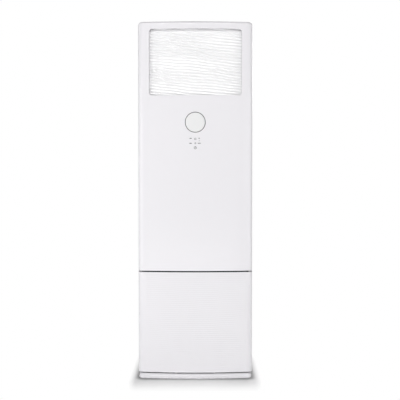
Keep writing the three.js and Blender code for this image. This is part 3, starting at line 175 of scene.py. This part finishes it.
# %% [markdown]
# ## White mouldings and painted sheet
# The front, roof and plinth are glossy moulded plastic with a faint cool tint. A moulded
# face isn't a mirror: it has a very fine orange peel, so a small noise moves its normal
# and its roughness. The sides are powder coated steel, which has a coarser peel.

# %% White finishes
def moulded_white(name, light, dark, roughness, peel, coat=0.0):
    finish = Finish(name, Specular_IOR_Level=0.5, Coat_Weight=coat, Coat_Roughness=0.12)
    finish.blend(finish.noise(2.5), light, dark)
    finish.rough(finish.noise(60) * 0.06 + (roughness - 0.03))
    finish.relief(finish.noise(450, 3), peel)
    return finish.material


gloss_white = moulded_white(
    "gloss white moulding", (0.870, 0.856, 0.884), (0.860, 0.848, 0.874), 0.24, 0.00003)
powder_white = moulded_white(
    "powder coated white", (0.855, 0.848, 0.868), (0.842, 0.836, 0.856), 0.42, 0.00008)
door_white = moulded_white(
    "rippled white door", (0.900, 0.896, 0.906), (0.888, 0.884, 0.894), 0.16, 0.00001, coat=0.8)
satin_white = moulded_white(
    "satin white louvre", (0.780, 0.790, 0.806), (0.765, 0.775, 0.792), 0.45, 0.00006)
lens_white = moulded_white(
    "polished disc", (0.866, 0.866, 0.868), (0.858, 0.858, 0.860), 0.12, 0.00001)
print("white finishes:", 5)

# %% [markdown]
# ## Metal, rubber, foam and board
# Zinc coated sheet shows a spangle of pale crystals, which cell noise draws well. Copper
# darkens in patches where it has been handled. Foam is pressed from beads, so the same
# cell noise at bead size gives it its skin.

# %% Metals
def spangled_zinc():
    finish = Finish("zinc coated steel", Metallic=0.85)
    crystals = finish.cells(70)
    finish.blend(crystals, (0.62, 0.64, 0.66), (0.46, 0.48, 0.50))
    finish.rough(crystals * 0.2 + 0.32)
    return finish.relief(finish.noise(220), 0.00005).material


def handled_copper():
    finish = Finish("copper tube", Metallic=1.0)
    patches = finish.noise(28, 4)
    finish.blend(patches, (0.80, 0.42, 0.26), (0.48, 0.22, 0.13))
    return finish.rough(patches * 0.25 + 0.22).material


def coated_fins():
    finish = Finish("coated aluminium fins", Metallic=0.7)
    finish.blend(finish.noise(14, 3), (0.56, 0.68, 0.76), (0.48, 0.60, 0.70))
    return finish.rough(finish.noise(90) * 0.2 + 0.30).material


zinc_steel, copper, fin_blue = spangled_zinc(), handled_copper(), coated_fins()
print("metals:", zinc_steel.name, copper.name, fin_blue.name)


# %% Plastics, rubber and foam
def grained(name, light, dark, roughness, grain, depth):
    finish = Finish(name)
    specks = finish.noise(grain, 3)
    finish.blend(specks, light, dark)
    finish.rough(specks * 0.12 + (roughness - 0.06))
    return finish.relief(specks, depth).material


def beaded_foam():
    finish = Finish("white bead foam")
    beads = finish.cells(260)
    finish.blend(beads, (0.80, 0.80, 0.80), (0.66, 0.66, 0.67))
    return finish.rough(0.95).relief(1 - beads, 0.0006).material


def ribbed_hose():
    finish = Finish("grey ribbed hose")
    rib_relief_and_shade = finish.wave(70, "Z")
    # Lighter on the ribs and darker in the grooves between them: painted shade in the grooves.
    finish.blend(rib_relief_and_shade, (0.52, 0.53, 0.52), (0.72, 0.73, 0.72))
    return finish.rough(0.6).relief(rib_relief_and_shade, 0.0012).material


def woven_mesh():
    finish = Finish("fine filter mesh")
    weave = finish.wave(130, "Y") * finish.wave(130, "Z")
    finish.blend(weave, (0.09, 0.12, 0.15), (0.30, 0.36, 0.41))
    return finish.rough(0.75).relief(weave, 0.0004).material


black_plastic = grained(
    "black moulded plastic", (0.028, 0.028, 0.031), (0.045, 0.045, 0.05), 0.5, 420, 0.0001)
# Near-black ring: its own dark grey, made darker as painted shade in the display's groove.
dark_ring_and_groove_shade = grained("dark ring and groove shade", (0.045, 0.042, 0.042), (0.06, 0.056, 0.056), 0.45, 300, 0.00003)
# The crossbar is near-black so the upper seam in front of it reads dark: painted shade in the seam.
seam_shade_steel = grained(
    "black painted steel", (0.018, 0.018, 0.02), (0.032, 0.032, 0.034), 0.55, 260, 0.0001)
natural_acetal = grained("natural acetal", (0.74, 0.71, 0.65), (0.68, 0.65, 0.59), 0.42, 120, 0.00006)
soft_rubber = grained("black rubber", (0.018, 0.018, 0.019), (0.04, 0.04, 0.04), 0.82, 300, 0.00015)
board_green = grained("green circuit board", (0.02, 0.13, 0.055), (0.03, 0.19, 0.09), 0.4, 160, 0.00006)
foam_white, hose_grey, mesh_blue = beaded_foam(), ribbed_hose(), woven_mesh()
print("plastics, rubber and foam:", 9)

# %% [markdown]
# ## Finishes on the frame's own pieces
# A piece whose solid already has the right shape stays and only gets a better finish.
# The list follows how the real unit is made, piece by piece.

# %% Finishes by piece
BLADES = range(1, 6)
finish_of = {
    gloss_white: ["base_plinth", "upper_front_panel", "lower_front_panel", "top_cover",
                  "intake_grille_left", "intake_grille_right"],
    powder_white: ["side_panel_left", "side_panel_right", "rear_panel"],
    door_white: ["outlet_door"],
    satin_white: ["outlet_frame"] + [f"louvre_{i}" for i in BLADES] + [f"vane_{i}" for i in BLADES],
    dark_ring_and_groove_shade: ["display_bezel"],
    lens_white: ["display_lens"],
    zinc_steel: ["base_tray", "door_motor", "louvre_motor", "vane_motor", "coil_plate_left",
                 "coil_plate_right", "fan_deck", "scroll_housing", "fan_shaft", "fan_motor",
                 "motor_bracket", "control_box", "control_box_lid"],
    # The crossbar is near-black as painted shade seen through the upper seam.
    seam_shade_steel: ["mid_crossbar"],
    black_plastic: ["cable_gland", "display_board", "inlet_ring", "fan_wheel"],
    natural_acetal: ["panel_hinge_left", "panel_hinge_right", "door_rack", "door_pinion",
                     "door_rail_left", "door_rail_right", "louvre_link", "vane_link"],
    fin_blue: ["coil_core"],
    copper: ["gas_pipe", "liquid_pipe"],
    foam_white: ["drain_pan", "duct_board"],
    hose_grey: ["drain_hose"],
    soft_rubber: ["pipe_grommet"],
    mesh_blue: ["filter_left", "filter_right"],
    board_green: ["control_board"],
}
for material, names in finish_of.items():
    for name in names:
        slots = nodes[name].data.materials
        slots.clear()
        slots.append(material)
print("pieces with a finish:", sum(len(names) for names in finish_of.values()), "of", len(nodes))

# %% [markdown]
# ## The cabinet's outline
# Seen from above, the front is a very shallow arc with a tight round at each corner. A
# compass draws it: a point is swung round one centre after another, which is what the
# spin operator does. Half is drawn and the other half is its mirror image.

# %% Plan of the cabinet
HALF_WIDTH, DEPTH, HEIGHT = 0.295, 0.395, 1.84
BOW, FRONT_CORNER, REAR_CORNER, TOP_ROUND = 1.95, 0.030, 0.018, 0.014
SKIN = 0.0001
bow_centre = -DEPTH / 2 + BOW
corner_x = HALF_WIDTH - FRONT_CORNER
corner_y = bow_centre - math.sqrt((BOW - FRONT_CORNER) ** 2 - corner_x ** 2)
bow_swing = math.asin(corner_x / (BOW - FRONT_CORNER))
PANEL_REAR = corner_y + 0.010
SHEET_FRONT = PANEL_REAR + 0.0015


def swing(bm, point, centre, angle, steps):
    done = bmesh.ops.spin(bm, geom=[point], cent=centre, axis=(0, 0, 1), angle=angle, steps=steps)
    return next(v for v in done["geom_last"] if isinstance(v, bmesh.types.BMVert))


def straight(bm, point, to):
    new = bmesh.ops.extrude_vert_indiv(bm, verts=[point])["verts"][0]
    new.co = to
    return new


def cabinet_outline(bm):
    point = bm.verts.new((0, -DEPTH / 2 + SKIN, 0))
    point = swing(bm, point, (0, bow_centre, 0), bow_swing, 34)
    point = swing(bm, point, (corner_x, corner_y, 0), math.pi / 2 - bow_swing, 12)
    point = straight(bm, point, (HALF_WIDTH - SKIN, DEPTH / 2 - REAR_CORNER, 0))
    point = swing(bm, point, (HALF_WIDTH - REAR_CORNER, DEPTH / 2 - REAR_CORNER, 0), math.pi / 2, 10)
    straight(bm, point, (0, DEPTH / 2 - SKIN, 0))
    half = bm.verts[:] + bm.edges[:]
    bmesh.ops.mirror(bm, geom=half, axis="X", merge_dist=0.00001)
    bmesh.ops.remove_doubles(bm, verts=bm.verts, dist=0.00001)


print("corner centre", round(corner_x, 4), round(corner_y, 4))

# %% [markdown]
# ## Skins cut from one body
# The outline is pushed up into a tall body and its upper rim is rounded. Each skin is the
# part of that body that its planes leave, and Solidify gives it the wall of the real one.
# Cutting all skins from one body keeps every surface running on across the seams.

# %% The body and its skins
def cabinet_body(bm):
    cabinet_outline(bm)
    base = bmesh.ops.contextual_create(bm, geom=bm.edges[:])["faces"]
    raised = bmesh.ops.extrude_face_region(bm, geom=base)["geom"]
    bmesh.ops.translate(bm, verts=[v for v in raised if isinstance(v, bmesh.types.BMVert)],
                        vec=(0, 0, HEIGHT - SKIN))
    bmesh.ops.recalc_face_normals(bm, faces=bm.faces)
    roof = max(bm.faces, key=lambda f: f.calc_center_median().z)
    bmesh.ops.bevel(bm, geom=list(roof.edges), offset=TOP_ROUND, offset_type="OFFSET", segments=8,
                    profile=0.5, affect="EDGES", material=-1)


def keep_side(bm, point, normal):
    """Keeps what lies on the side that the normal points away from."""
    everything = bm.verts[:] + bm.edges[:] + bm.faces[:]
    bmesh.ops.bisect_plane(bm, geom=everything, plane_co=point, plane_no=normal, clear_outer=True,
                           dist=0.000001)


SHARP_ANGLE = math.radians(40)


def finished(bm, name, material, body):
    mesh = bpy.data.meshes.new(name)
    bm.to_mesh(mesh)
    bm.free()
    mesh.materials.append(material)
    mesh.shade_smooth()
    mesh.set_sharp_from_angle(angle=SHARP_ANGLE)
    piece = bpy.data.objects.new(name, mesh)
    bpy.context.collection.objects.link(piece)
    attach(piece, body)
    return piece


def add_wall(piece, thickness):
    wall = piece.modifiers.new("wall", "SOLIDIFY")
    wall.thickness = thickness
    wall.offset = -1
    wall.use_even_offset = True


def skin(name, material, planes, wall):
    bm = bmesh.new()
    cabinet_body(bm)
    foot = [f for f in bm.faces if f.normal.z < -0.9]
    bmesh.ops.delete(bm, geom=foot, context="FACES_ONLY")
    for point, normal in planes:
        keep_side(bm, point, normal)
    loose = [v for v in bm.verts if not v.link_faces]
    bmesh.ops.delete(bm, geom=loose, context="VERTS")
    piece = finished(bm, name, material, "cabinet")
    add_wall(piece, wall)
    return piece


print("skin tools ready")

# %% [markdown]
# ## Front panel with its window, roof and sides
# The upper panel is one moulding that rounds over into the roof. Its window is cut with a
# Boolean, because a rounded opening through a bowed wall is just a rounded block taken
# away. The block is only a tool, so it is removed after the cut is applied.

# %% Cutting tools
def rounded_block(low, high, radius):
    """A block whose four edges from front to back are rounded."""
    bm = bmesh.new()
    size = [b - a for a, b in zip(low, high)]
    middle = [(a + b) / 2 for a, b in zip(low, high)]
    bmesh.ops.create_cube(bm, size=1, matrix=Matrix.Translation(middle) @ Matrix.Diagonal((*size, 1)))
    edges = [e for e in bm.edges if abs((e.verts[0].co - e.verts[1].co).y) > size[1] * 0.9]
    bmesh.ops.bevel(bm, geom=edges, offset=radius, offset_type="OFFSET", segments=10, profile=0.5,
                    affect="EDGES", material=-1)
    return bm


def cut_away(piece, tool_bm):
    tool_mesh = bpy.data.meshes.new("cutter")
    tool_bm.to_mesh(tool_mesh)
    tool_bm.free()
    tool = bpy.data.objects.new("cutter", tool_mesh)
    bpy.context.collection.objects.link(tool)
    taking = piece.modifiers.new("cut", "BOOLEAN")
    taking.operation = "DIFFERENCE"
    taking.solver = "EXACT"
    taking.object = tool
    baked = bpy.data.meshes.new_from_object(piece.evaluated_get(bpy.context.evaluated_depsgraph_get()))
    piece.modifiers.clear()
    piece.data = baked
    baked.name = piece.name
    baked.shade_smooth()
    baked.set_sharp_from_angle(angle=SHARP_ANGLE)
    bpy.data.objects.remove(tool)


WINDOW, WINDOW_CORNER = (-0.2375, 0.2375, 1.462, 1.802), 0.014
DISC_Z, HOLE_RADIUS = 1.3245, 0.0530
UPPER_BOTTOM, LOWER_TOP, LOWER_BOTTOM = 0.5605, 0.5535, 0.0343
PANEL_WALL, ROOF_FOOT = 0.003, 1.812

upper_panel = skin("front_panel_upper", gloss_white,
                   [((0, PANEL_REAR, 0), (0, 1, 0)), ((0, 0, UPPER_BOTTOM), (0, 0, -1))], PANEL_WALL)
cut_away(upper_panel, rounded_block((WINDOW[0], -0.3, WINDOW[2]), (WINDOW[1], -0.15, WINDOW[3]),
                                    WINDOW_CORNER))
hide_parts("upper_front_panel")

roof = skin("roof_cover", gloss_white,
            [((0, SHEET_FRONT, 0), (0, -1, 0)), ((0, 0, ROOF_FOOT), (0, 0, -1))], PANEL_WALL)
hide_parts("top_cover")
print("upper panel faces:", len(upper_panel.data.polygons), "roof faces:", len(roof.data.polygons))

# %% [markdown]
# ## Bending a flat sheet round the outline
# A fine relief needs an even grid, which a cut body doesn't have. So a sheet is made flat,
# with its width measured along the outline, and each of its points is then laid on the
# bow, on the corner round or on the straight behind it, as a sheet is bent on a former.

# %% The former
bow_length = BOW * bow_swing
corner_length = FRONT_CORNER * (math.pi / 2 - bow_swing)


def on_the_outline(along, inset):
    side = 1 if along >= 0 else -1
    run = abs(along)
    if run <= bow_length:
        angle = run / BOW
        return side * (BOW - inset) * math.sin(angle), bow_centre - (BOW - inset) * math.cos(angle)
    if run <= bow_length + corner_length:
        angle = bow_swing + (run - bow_length) / FRONT_CORNER
        radius = FRONT_CORNER - inset
        return side * (corner_x + radius * math.sin(angle)), corner_y - radius * math.cos(angle)
    return side * (HALF_WIDTH - inset), corner_y + run - bow_length - corner_length


def ramp(value, start, end):
    """Rises softly from 0 at start to 1 at end."""
    share = min(max((value - start) / (end - start), 0), 1)
    return share * share * (3 - 2 * share)


def bent_sheet(half_run, low, high, columns, rows, inset, carve):
    bm = bmesh.new()
    bmesh.ops.create_grid(bm, x_segments=columns, y_segments=rows, size=1)
    for vert in bm.verts:
        along = vert.co.x * half_run
        up = low + (vert.co.y + 1) / 2 * (high - low)
        x, y = on_the_outline(along, inset + carve(along, up))
        vert.co = (x, y, up)
    bmesh.ops.recalc_face_normals(bm, faces=bm.faces)
    front = min(bm.faces, key=lambda f: f.calc_center_median().y)
    if front.normal.y > 0:
        bmesh.ops.reverse_faces(bm, faces=bm.faces)
    return bm


# %% [markdown]
# ## The rippled door
# The door's face is moulded like wind-blown sand: shingles about 15 mm apart, each with a
# long slope that looks up and a short steep one that looks down and so lies in shade. They
# run a little downhill to the right, and long slow waves bring them together and apart.

# %% Ripples of the door
STEEP = 0.40  # share of each shingle that its short slope takes
DOOR_DEPTH, DOOR_PITCH, DOOR_FALL, DOOR_SWAY = 0.0022, 0.0147, 6.8, 0.24
DOOR_HALF_RUN, DOOR_LOW, DOOR_HIGH, DOOR_INSET = 0.2535, 1.457, 1.807, 0.0175
DOOR_WALL = 0.0008


def shingle(phase):
    """0 on the crest and 1 in the crease, with the steep slope looking down."""
    share = phase - math.floor(phase)
    if share < STEEP:
        return 0.5 + 0.5 * math.cos(math.pi * share / STEEP)
    return 0.5 - 0.5 * math.cos(math.pi * (share - STEEP) / (1 - STEEP))


def wander(along, up, sway, seed):
    long_wave = math.sin(2 * math.pi * (along / 0.36 + up / 0.30) + seed)
    short_wave = math.sin(2 * math.pi * (along / 0.16 - up / 0.24) + 2 * seed)
    drift = noise.noise(Vector((along * 2.0, up * 4.0, seed)))
    return sway * (0.60 * long_wave + 0.22 * short_wave + 0.9 * drift)


def door_carve(along, up):
    lower_right = ramp(along, -0.20, 0.24) * ramp(-up, -1.72, -1.47)
    patch = noise.noise(Vector((along * 3.0, (up + along * 0.1) * 12.0, 5.0)))
    depth = DOOR_DEPTH * (1 - 0.25 * lower_right) * min(max(0.90 + 0.5 * patch, 0.55), 1)
    return depth * shingle(up / DOOR_PITCH + along * DOOR_FALL + wander(along, up, DOOR_SWAY, 2.0))


door_bm = bent_sheet(DOOR_HALF_RUN, DOOR_LOW, DOOR_HIGH, 110, 440, DOOR_INSET, door_carve)
door = finished(door_bm, "rippled_door", door_white, "outlet_door")
add_wall(door, DOOR_WALL)
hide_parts("outlet_door")
print("door faces:", len(door.data.polygons))

# %% [markdown]
# ## The lower panel
# The lower panel has the same idea in a whisper: very faint level waves about 10 mm apart
# on its middle, which lies 0.6 mm behind the smooth strips at its sides. The step is soft,
# as a moulded step is, and catches a line of light.

# %% Lower panel
STRIP, STRIP_STEP, LOWER_WALL = 0.262, 0.0006, 0.002
WAVE_DEPTH, WAVE_PITCH, WAVE_FALL, WAVE_SWAY = 0.0004, 0.0102, 1.2, 0.30


def lower_carve(along, up):
    inside = ramp(STRIP - abs(along), 0, 0.004)
    ends = ramp(up, 0.036, 0.042) * ramp(-up, -0.552, -0.546)
    phase = up / WAVE_PITCH + along * WAVE_FALL + wander(along, up, WAVE_SWAY, 11.0)
    waves = WAVE_DEPTH * shingle(phase)
    return inside * ends * (STRIP_STEP + waves)


panel_run = bow_length + corner_length + 0.010
lower_bm = bent_sheet(panel_run, LOWER_BOTTOM, LOWER_TOP, 190, 440, SKIN, lower_carve)
lower_panel = finished(lower_bm, "front_panel_lower", gloss_white, "lower_panel")
add_wall(lower_panel, LOWER_WALL)
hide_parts("lower_front_panel")
print("lower panel faces:", len(lower_panel.data.polygons))

# %% [markdown]
# ## The window's rim
# Behind the opening the panel turns inwards and stops just short of the door, so nobody
# sees into the gap. The rim starts as one flat face with rounded corners. Only its outline
# is kept, pushed back, and both ends are laid on the bow.

# %% Window rim
RIM_FRONT, RIM_BACK, RIM_WALL, RIM_STEP = 0.003, 0.016, 0.0025, 0.012


def bow_y(x, inset):
    return bow_centre - math.sqrt((BOW - inset) ** 2 - x * x)


def window_rim():
    bm = bmesh.new()
    bmesh.ops.create_grid(bm, x_segments=1, y_segments=1, size=1)
    for vert in bm.verts:
        across = (WINDOW[0] + WINDOW[1]) / 2 + vert.co.x * (WINDOW[1] - WINDOW[0]) / 2
        up = (WINDOW[2] + WINDOW[3]) / 2 + vert.co.y * (WINDOW[3] - WINDOW[2]) / 2
        vert.co = (across, 0, up)
    bmesh.ops.bevel(bm, geom=bm.verts[:], offset=WINDOW_CORNER, offset_type="OFFSET", segments=10,
                    profile=0.5, affect="VERTICES", material=-1)
    for step in range(-18, 19):
        everything = bm.verts[:] + bm.edges[:] + bm.faces[:]
        bmesh.ops.bisect_plane(bm, geom=everything, plane_co=(step * RIM_STEP, 0, 0),
                               plane_no=(1, 0, 0), dist=0.000001)
    outline = [e for e in bm.edges if len(e.link_faces) == 1]
    bmesh.ops.delete(bm, geom=bm.faces[:], context="FACES_ONLY")
    bmesh.ops.delete(bm, geom=[e for e in bm.edges if e not in set(outline)], context="EDGES")
    front = list({v for e in bm.edges for v in e.verts})
    pushed = bmesh.ops.extrude_edge_only(bm, edges=bm.edges[:])["geom"]
    back = {v for v in pushed if isinstance(v, bmesh.types.BMVert)}
    for vert in front:
        vert.co.y = bow_y(vert.co.x, RIM_FRONT)
    for vert in back:
        vert.co.y = bow_y(vert.co.x, RIM_BACK)
    bm.normal_update()
    middle = Vector((0, 0, (WINDOW[2] + WINDOW[3]) / 2))
    wrong = [f for f in bm.faces if f.normal.dot(middle - f.calc_center_median()) < 0]
    bmesh.ops.reverse_faces(bm, faces=wrong)
    return bm


rim = finished(window_rim(), "window_rim", gloss_white, "cabinet")
add_wall(rim, RIM_WALL)
print("rim faces:", len(rim.data.polygons))

# %% [markdown]
# ## Display ring and touch marks
# The display is a pale disc in a fine dark groove: the panel's hole is a little wider than
# the disc, and a dark ring lies between them, five millimetres down. The ring's near-black
# colour is partly its own dark grey and partly painted shade for the groove. The marks under
# it are printed, so they are very thin pieces on the panel's face, in plain general shapes.

# %% Display
DISC_RADIUS, RING_INNER, RING_DEPTH = 0.0497, 0.0485, 0.0050
DISC_THICK, DISC_MIDDLE, DISC_ROUND, RING_WALL = 0.004, 0.0024, 0.0012, 0.003
ROUND_STEPS = 96
TO_FRONT = Matrix.Rotation(math.radians(90), 4, "X")


def turned_to_front(bm, x, z, inset):
    place = Matrix.Translation((x, bow_y(x, inset), z))
    bmesh.ops.transform(bm, matrix=place @ TO_FRONT, verts=bm.verts)


def round_cutter(radius, z):
    bm = bmesh.new()
    bmesh.ops.create_cone(bm, cap_ends=True, segments=ROUND_STEPS, radius1=radius, radius2=radius,
                          depth=0.1, matrix=Matrix.Translation((0, -0.19, z)) @ TO_FRONT)
    return bm


cut_away(upper_panel, round_cutter(HOLE_RADIUS, DISC_Z))


def flat_ring(inner, outer, segments):
    bm = bmesh.new()
    bmesh.ops.create_circle(bm, cap_ends=True, segments=segments, radius=outer)
    face = bm.faces[:]
    bmesh.ops.inset_region(bm, faces=face, thickness=outer - inner, use_boundary=True,
                           use_even_offset=True)
    lid = min(bm.faces, key=lambda f: f.calc_center_median().length)
    bmesh.ops.delete(bm, geom=[lid], context="FACES")
    return bm


groove_bm = flat_ring(RING_INNER, HOLE_RADIUS, ROUND_STEPS)
turned_to_front(groove_bm, 0, DISC_Z, RING_DEPTH)
groove = finished(groove_bm, "display_groove_ring", dark_ring_and_groove_shade, "cabinet")
add_wall(groove, RING_WALL)
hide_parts("display_bezel")


def disc_dome():
    bm = bmesh.new()
    place = Matrix.Translation((0, FRONT_Y + DISC_MIDDLE, DISC_Z))
    bmesh.ops.create_cone(bm, cap_ends=True, segments=ROUND_STEPS, radius1=DISC_RADIUS,
                          radius2=DISC_RADIUS, depth=DISC_THICK, matrix=place @ TO_FRONT)
    rim_edges = [e for e in bm.edges if all(v.co.y < FRONT_Y + 0.001 for v in e.verts)]
    bmesh.ops.bevel(bm, geom=rim_edges, offset=DISC_ROUND, offset_type="OFFSET", segments=4,
                    profile=0.5, affect="EDGES", material=-1)
    return bm


disc = finished(disc_dome(), "display_disc", lens_white, "cabinet")
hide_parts("display_lens")
print("display ring and disc made")

# %% Touch marks
def bar_mark(width, height, lean=0.0):
    bm = bmesh.new()
    bmesh.ops.create_grid(bm, x_segments=1, y_segments=1, size=0.5)
    for vert in bm.verts:
        vert.co = (vert.co.x * width * (1 - lean * (vert.co.y + 0.5)), vert.co.y * height, 0)
    return bm


def chevron_mark(width, height):
    bm = bmesh.new()
    bmesh.ops.create_circle(bm, cap_ends=True, segments=3, radius=0.5)
    bmesh.ops.transform(bm, matrix=Matrix.Diagonal((width, height, 1, 1)), verts=bm.verts)
    return bm


marks = [
    (bar_mark(0.0145, 0.0044, 0.35), -0.0226, 1.2420), (bar_mark(0.0150, 0.0044), -0.0226, 1.2165),
    (flat_ring(0.0042, 0.0060, 6), 0, 1.2386),
    (bar_mark(0.0120, 0.0017), 0, 1.2170), (bar_mark(0.0017, 0.0120), 0, 1.2170),
    (chevron_mark(0.0110, 0.0062), 0.0200, 1.2420), (flat_ring(0.0008, 0.0019, 16), 0.0200, 1.2290),
    (bar_mark(0.0060, 0.0046), 0.0162, 1.2165), (bar_mark(0.0060, 0.0046), 0.0238, 1.2165),
    (flat_ring(0.0048, 0.0070, 40), 0, 1.1935), (bar_mark(0.0024, 0.0070), 0, 1.1975),
]
mark_ink = grained("grey printing ink", (0.10, 0.10, 0.105), (0.14, 0.14, 0.145), 0.5, 900, 0.00001)
for count, (mark_bm, x, z) in enumerate(marks):
    turned_to_front(mark_bm, x, z, SKIN - 0.00004)
    mark = finished(mark_bm, f"touch_mark_{count + 1}", mark_ink, "cabinet")
    add_wall(mark, 0.00003)
print("touch marks:", len(marks), "display ring faces:", len(groove.data.polygons))

# %% [markdown]
# ## Plinth
# The plinth is a hollow skirt, set back from the front, that flares towards the floor. Its
# lower edge is rounded, which leaves a thin line of shade where it meets the ground, made
# darker by the floor's painted contact shadow. The gap above it looks black because there
# is nothing but shade behind it.

# %% Smooth plinth
PLINTH_TOP, PLINTH_FOOT = (0.289, 0.1915), (0.2933, 0.1958)  # half width and half depth
PLINTH_HEIGHT, PLINTH_ROUND, PLINTH_WALL = 0.029, 0.0050, 0.003


def smooth_plinth():
    bm = bmesh.new()
    cabinet_outline(bm)
    base = bmesh.ops.contextual_create(bm, geom=bm.edges[:])["faces"]
    raised = bmesh.ops.extrude_face_region(bm, geom=base)["geom"]
    top = [v for v in raised if isinstance(v, bmesh.types.BMVert)]
    foot = [v for v in bm.verts if v not in set(top)]
    for rim_verts, (across, deep) in ((top, PLINTH_TOP), (foot, PLINTH_FOOT)):
        bmesh.ops.scale(bm, vec=(across / HALF_WIDTH, deep / (DEPTH / 2), 1), verts=rim_verts)
    bmesh.ops.translate(bm, vec=(0, 0, PLINTH_HEIGHT), verts=top)
    bmesh.ops.recalc_face_normals(bm, faces=bm.faces)
    floor_face = min(bm.faces, key=lambda f: f.calc_center_median().z)
    bmesh.ops.bevel(bm, geom=list(floor_face.edges), offset=PLINTH_ROUND, offset_type="OFFSET",
                    segments=6, profile=0.5, affect="EDGES", material=-1)
    lids = [f for f in bm.faces if abs(f.normal.z) > 0.99]
    bmesh.ops.delete(bm, geom=lids, context="FACES_ONLY")
    return bm


plinth = finished(smooth_plinth(), "plinth_skirt", gloss_white, "cabinet")
add_wall(plinth, PLINTH_WALL)
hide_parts("base_plinth")
print("plinth faces:", len(plinth.data.polygons))

# %% [markdown]
# ## Floor and light
# A product photograph has a white floor that keeps only the contact shadow. The floor's
# shader measures how far a point lies from the cabinet's foot. Close to it the floor is a
# plain surface that takes a shadow. It turns into even white a quarter of a metre in front
# of the foot, and five times nearer beside it. Right at the foot its colour is also painted
# darker: a painted contact shadow that hugs the foot's outline.

# %% Floor and backdrop
FOOT_CORNER, FADE, SIDE_FADE = 0.045, 0.25, 5.0
# The floor's base colour is dark grey close to the foot: a painted contact shadow.
PAINTED_SHADOW_INSIDE, PAINTED_SHADOW_OUTSIDE = 0.01, 0.035  # where the contact shadow starts and ends


def stage_white():
    finish = Finish("white floor", Roughness=1.0)
    glow = finish.node("ShaderNodeEmission", Strength=1.0)
    rays = finish.node("ShaderNodeLightPath")
    place = finish.node("ShaderNodeSeparateXYZ", Vector=finish.place)
    x, y = Wire(finish, place.outputs["X"]), Wire(finish, place.outputs["Y"])
    beside = x.sum("MAXIMUM", x.sum("ABSOLUTE", x) - HALF_WIDTH, 0) * SIDE_FADE
    before = y.sum("MAXIMUM", y.sum("ABSOLUTE", y) - DEPTH / 2, 0)
    away = (beside * beside + before * before) ** 0.5
    smooth = {"interpolation_type": "SMOOTHSTEP"}
    right = x.sum("MAXIMUM", x.sum("ABSOLUTE", x) - (HALF_WIDTH - FOOT_CORNER), 0)
    ahead = y.sum("MAXIMUM", y.sum("ABSOLUTE", y) - (DEPTH / 2 - FOOT_CORNER), 0)
    near = (right * right + ahead * ahead) ** 0.5
    # Painted contact shadow: the base colour blends from dark grey at the foot to white.
    touch = finish.node("ShaderNodeMapRange", smooth, Value=near,
                        From_Min=FOOT_CORNER - PAINTED_SHADOW_INSIDE, From_Max=FOOT_CORNER + PAINTED_SHADOW_OUTSIDE)
    finish.blend(Wire(finish, touch.outputs[0]), (0.42, 0.42, 0.42), (0.92, 0.92, 0.92))
    reach = finish.node("ShaderNodeMapRange", smooth, Value=away, From_Min=0.0, From_Max=FADE)
    share = Wire(finish, rays.outputs["Is Camera Ray"]) * Wire(finish, reach.outputs[0])
    mix = finish.node("ShaderNodeMixShader", Fac=share)
    finish.tree.links.new(finish.shader.outputs[0], mix.inputs[1])
    finish.tree.links.new(glow.outputs[0], mix.inputs[2])
    output = finish.tree.nodes["Material Output"]
    finish.tree.links.new(mix.outputs[0], output.inputs[0])
    return finish.material


floor_bm = bmesh.new()
bmesh.ops.create_grid(floor_bm, x_segments=1, y_segments=1, size=3.0)
floor_mesh = bpy.data.meshes.new("floor")
floor_bm.to_mesh(floor_mesh)
floor_bm.free()
floor_mesh.materials.append(stage_white())
floor = bpy.data.objects.new("floor", floor_mesh)
bpy.context.collection.objects.link(floor)

# %% World and lamps
world = bpy.data.worlds.new("studio")
bpy.context.scene.world = world
world.use_nodes = True
sky = world.node_tree
background = sky.nodes["Background"]
background.inputs["Color"].default_value = (1, 1, 1, 1)
rays = sky.nodes.new("ShaderNodeLightPath")
direction = sky.nodes.new("ShaderNodeTexCoord")
parts = sky.nodes.new("ShaderNodeSeparateXYZ")
sky.links.new(direction.outputs["Generated"], parts.inputs[0])
dome = sky.nodes.new("ShaderNodeMapRange")
for socket, value in (("From Min", 0.05), ("From Max", 0.95), ("To Min", 0.36), ("To Max", 0.16)):
    dome.inputs[socket].default_value = value
sky.links.new(parts.outputs["Z"], dome.inputs["Value"])
level = sky.nodes.new("ShaderNodeMath")
level.operation = "MAXIMUM"
sky.links.new(rays.outputs["Is Camera Ray"], level.inputs[0])
sky.links.new(dome.outputs[0], level.inputs[1])
sky.links.new(level.outputs[0], background.inputs["Strength"])


def soft_lamp(name, place, aim, size, watts):
    data = bpy.data.lights.new(name, "AREA")
    data.shape = "RECTANGLE"
    data.size, data.size_y = size
    data.energy = watts
    lamp = bpy.data.objects.new(name, data)
    lamp.location = place
    lamp.rotation_euler = (Vector(aim) - Vector(place)).to_track_quat("-Z", "Y").to_euler()
    bpy.context.collection.objects.link(lamp)


soft_lamp("key", (-0.2, -3.4, 3.8), (0, 0, 1.0), (3.4, 0.6), 56)
soft_lamp("low front", (-0.2, -3.6, 0.2), (0, 0, 0.1), (3.0, 0.3), 10)
soft_lamp("left fill", (-2.7, -2.5, 1.1), (0, 0, 1.0), (0.7, 2.2), 27)
soft_lamp("right fill", (2.7, -2.5, 1.1), (0, 0, 1.0), (0.7, 2.2), 20)
soft_lamp("left strip", (-2.6, -0.9, 0.7), (-0.2, -0.15, 0.6), (0.4, 2.4), 14)
soft_lamp("right strip", (2.6, -0.9, 0.7), (0.2, -0.15, 0.6), (0.4, 2.4), 10)
soft_lamp("behind", (0.8, 3.6, 2.4), (0, 0, 1.0), (2.0, 1.4), 48)
bpy.context.scene.view_settings.view_transform = "Standard"
print("stage and seven lamps")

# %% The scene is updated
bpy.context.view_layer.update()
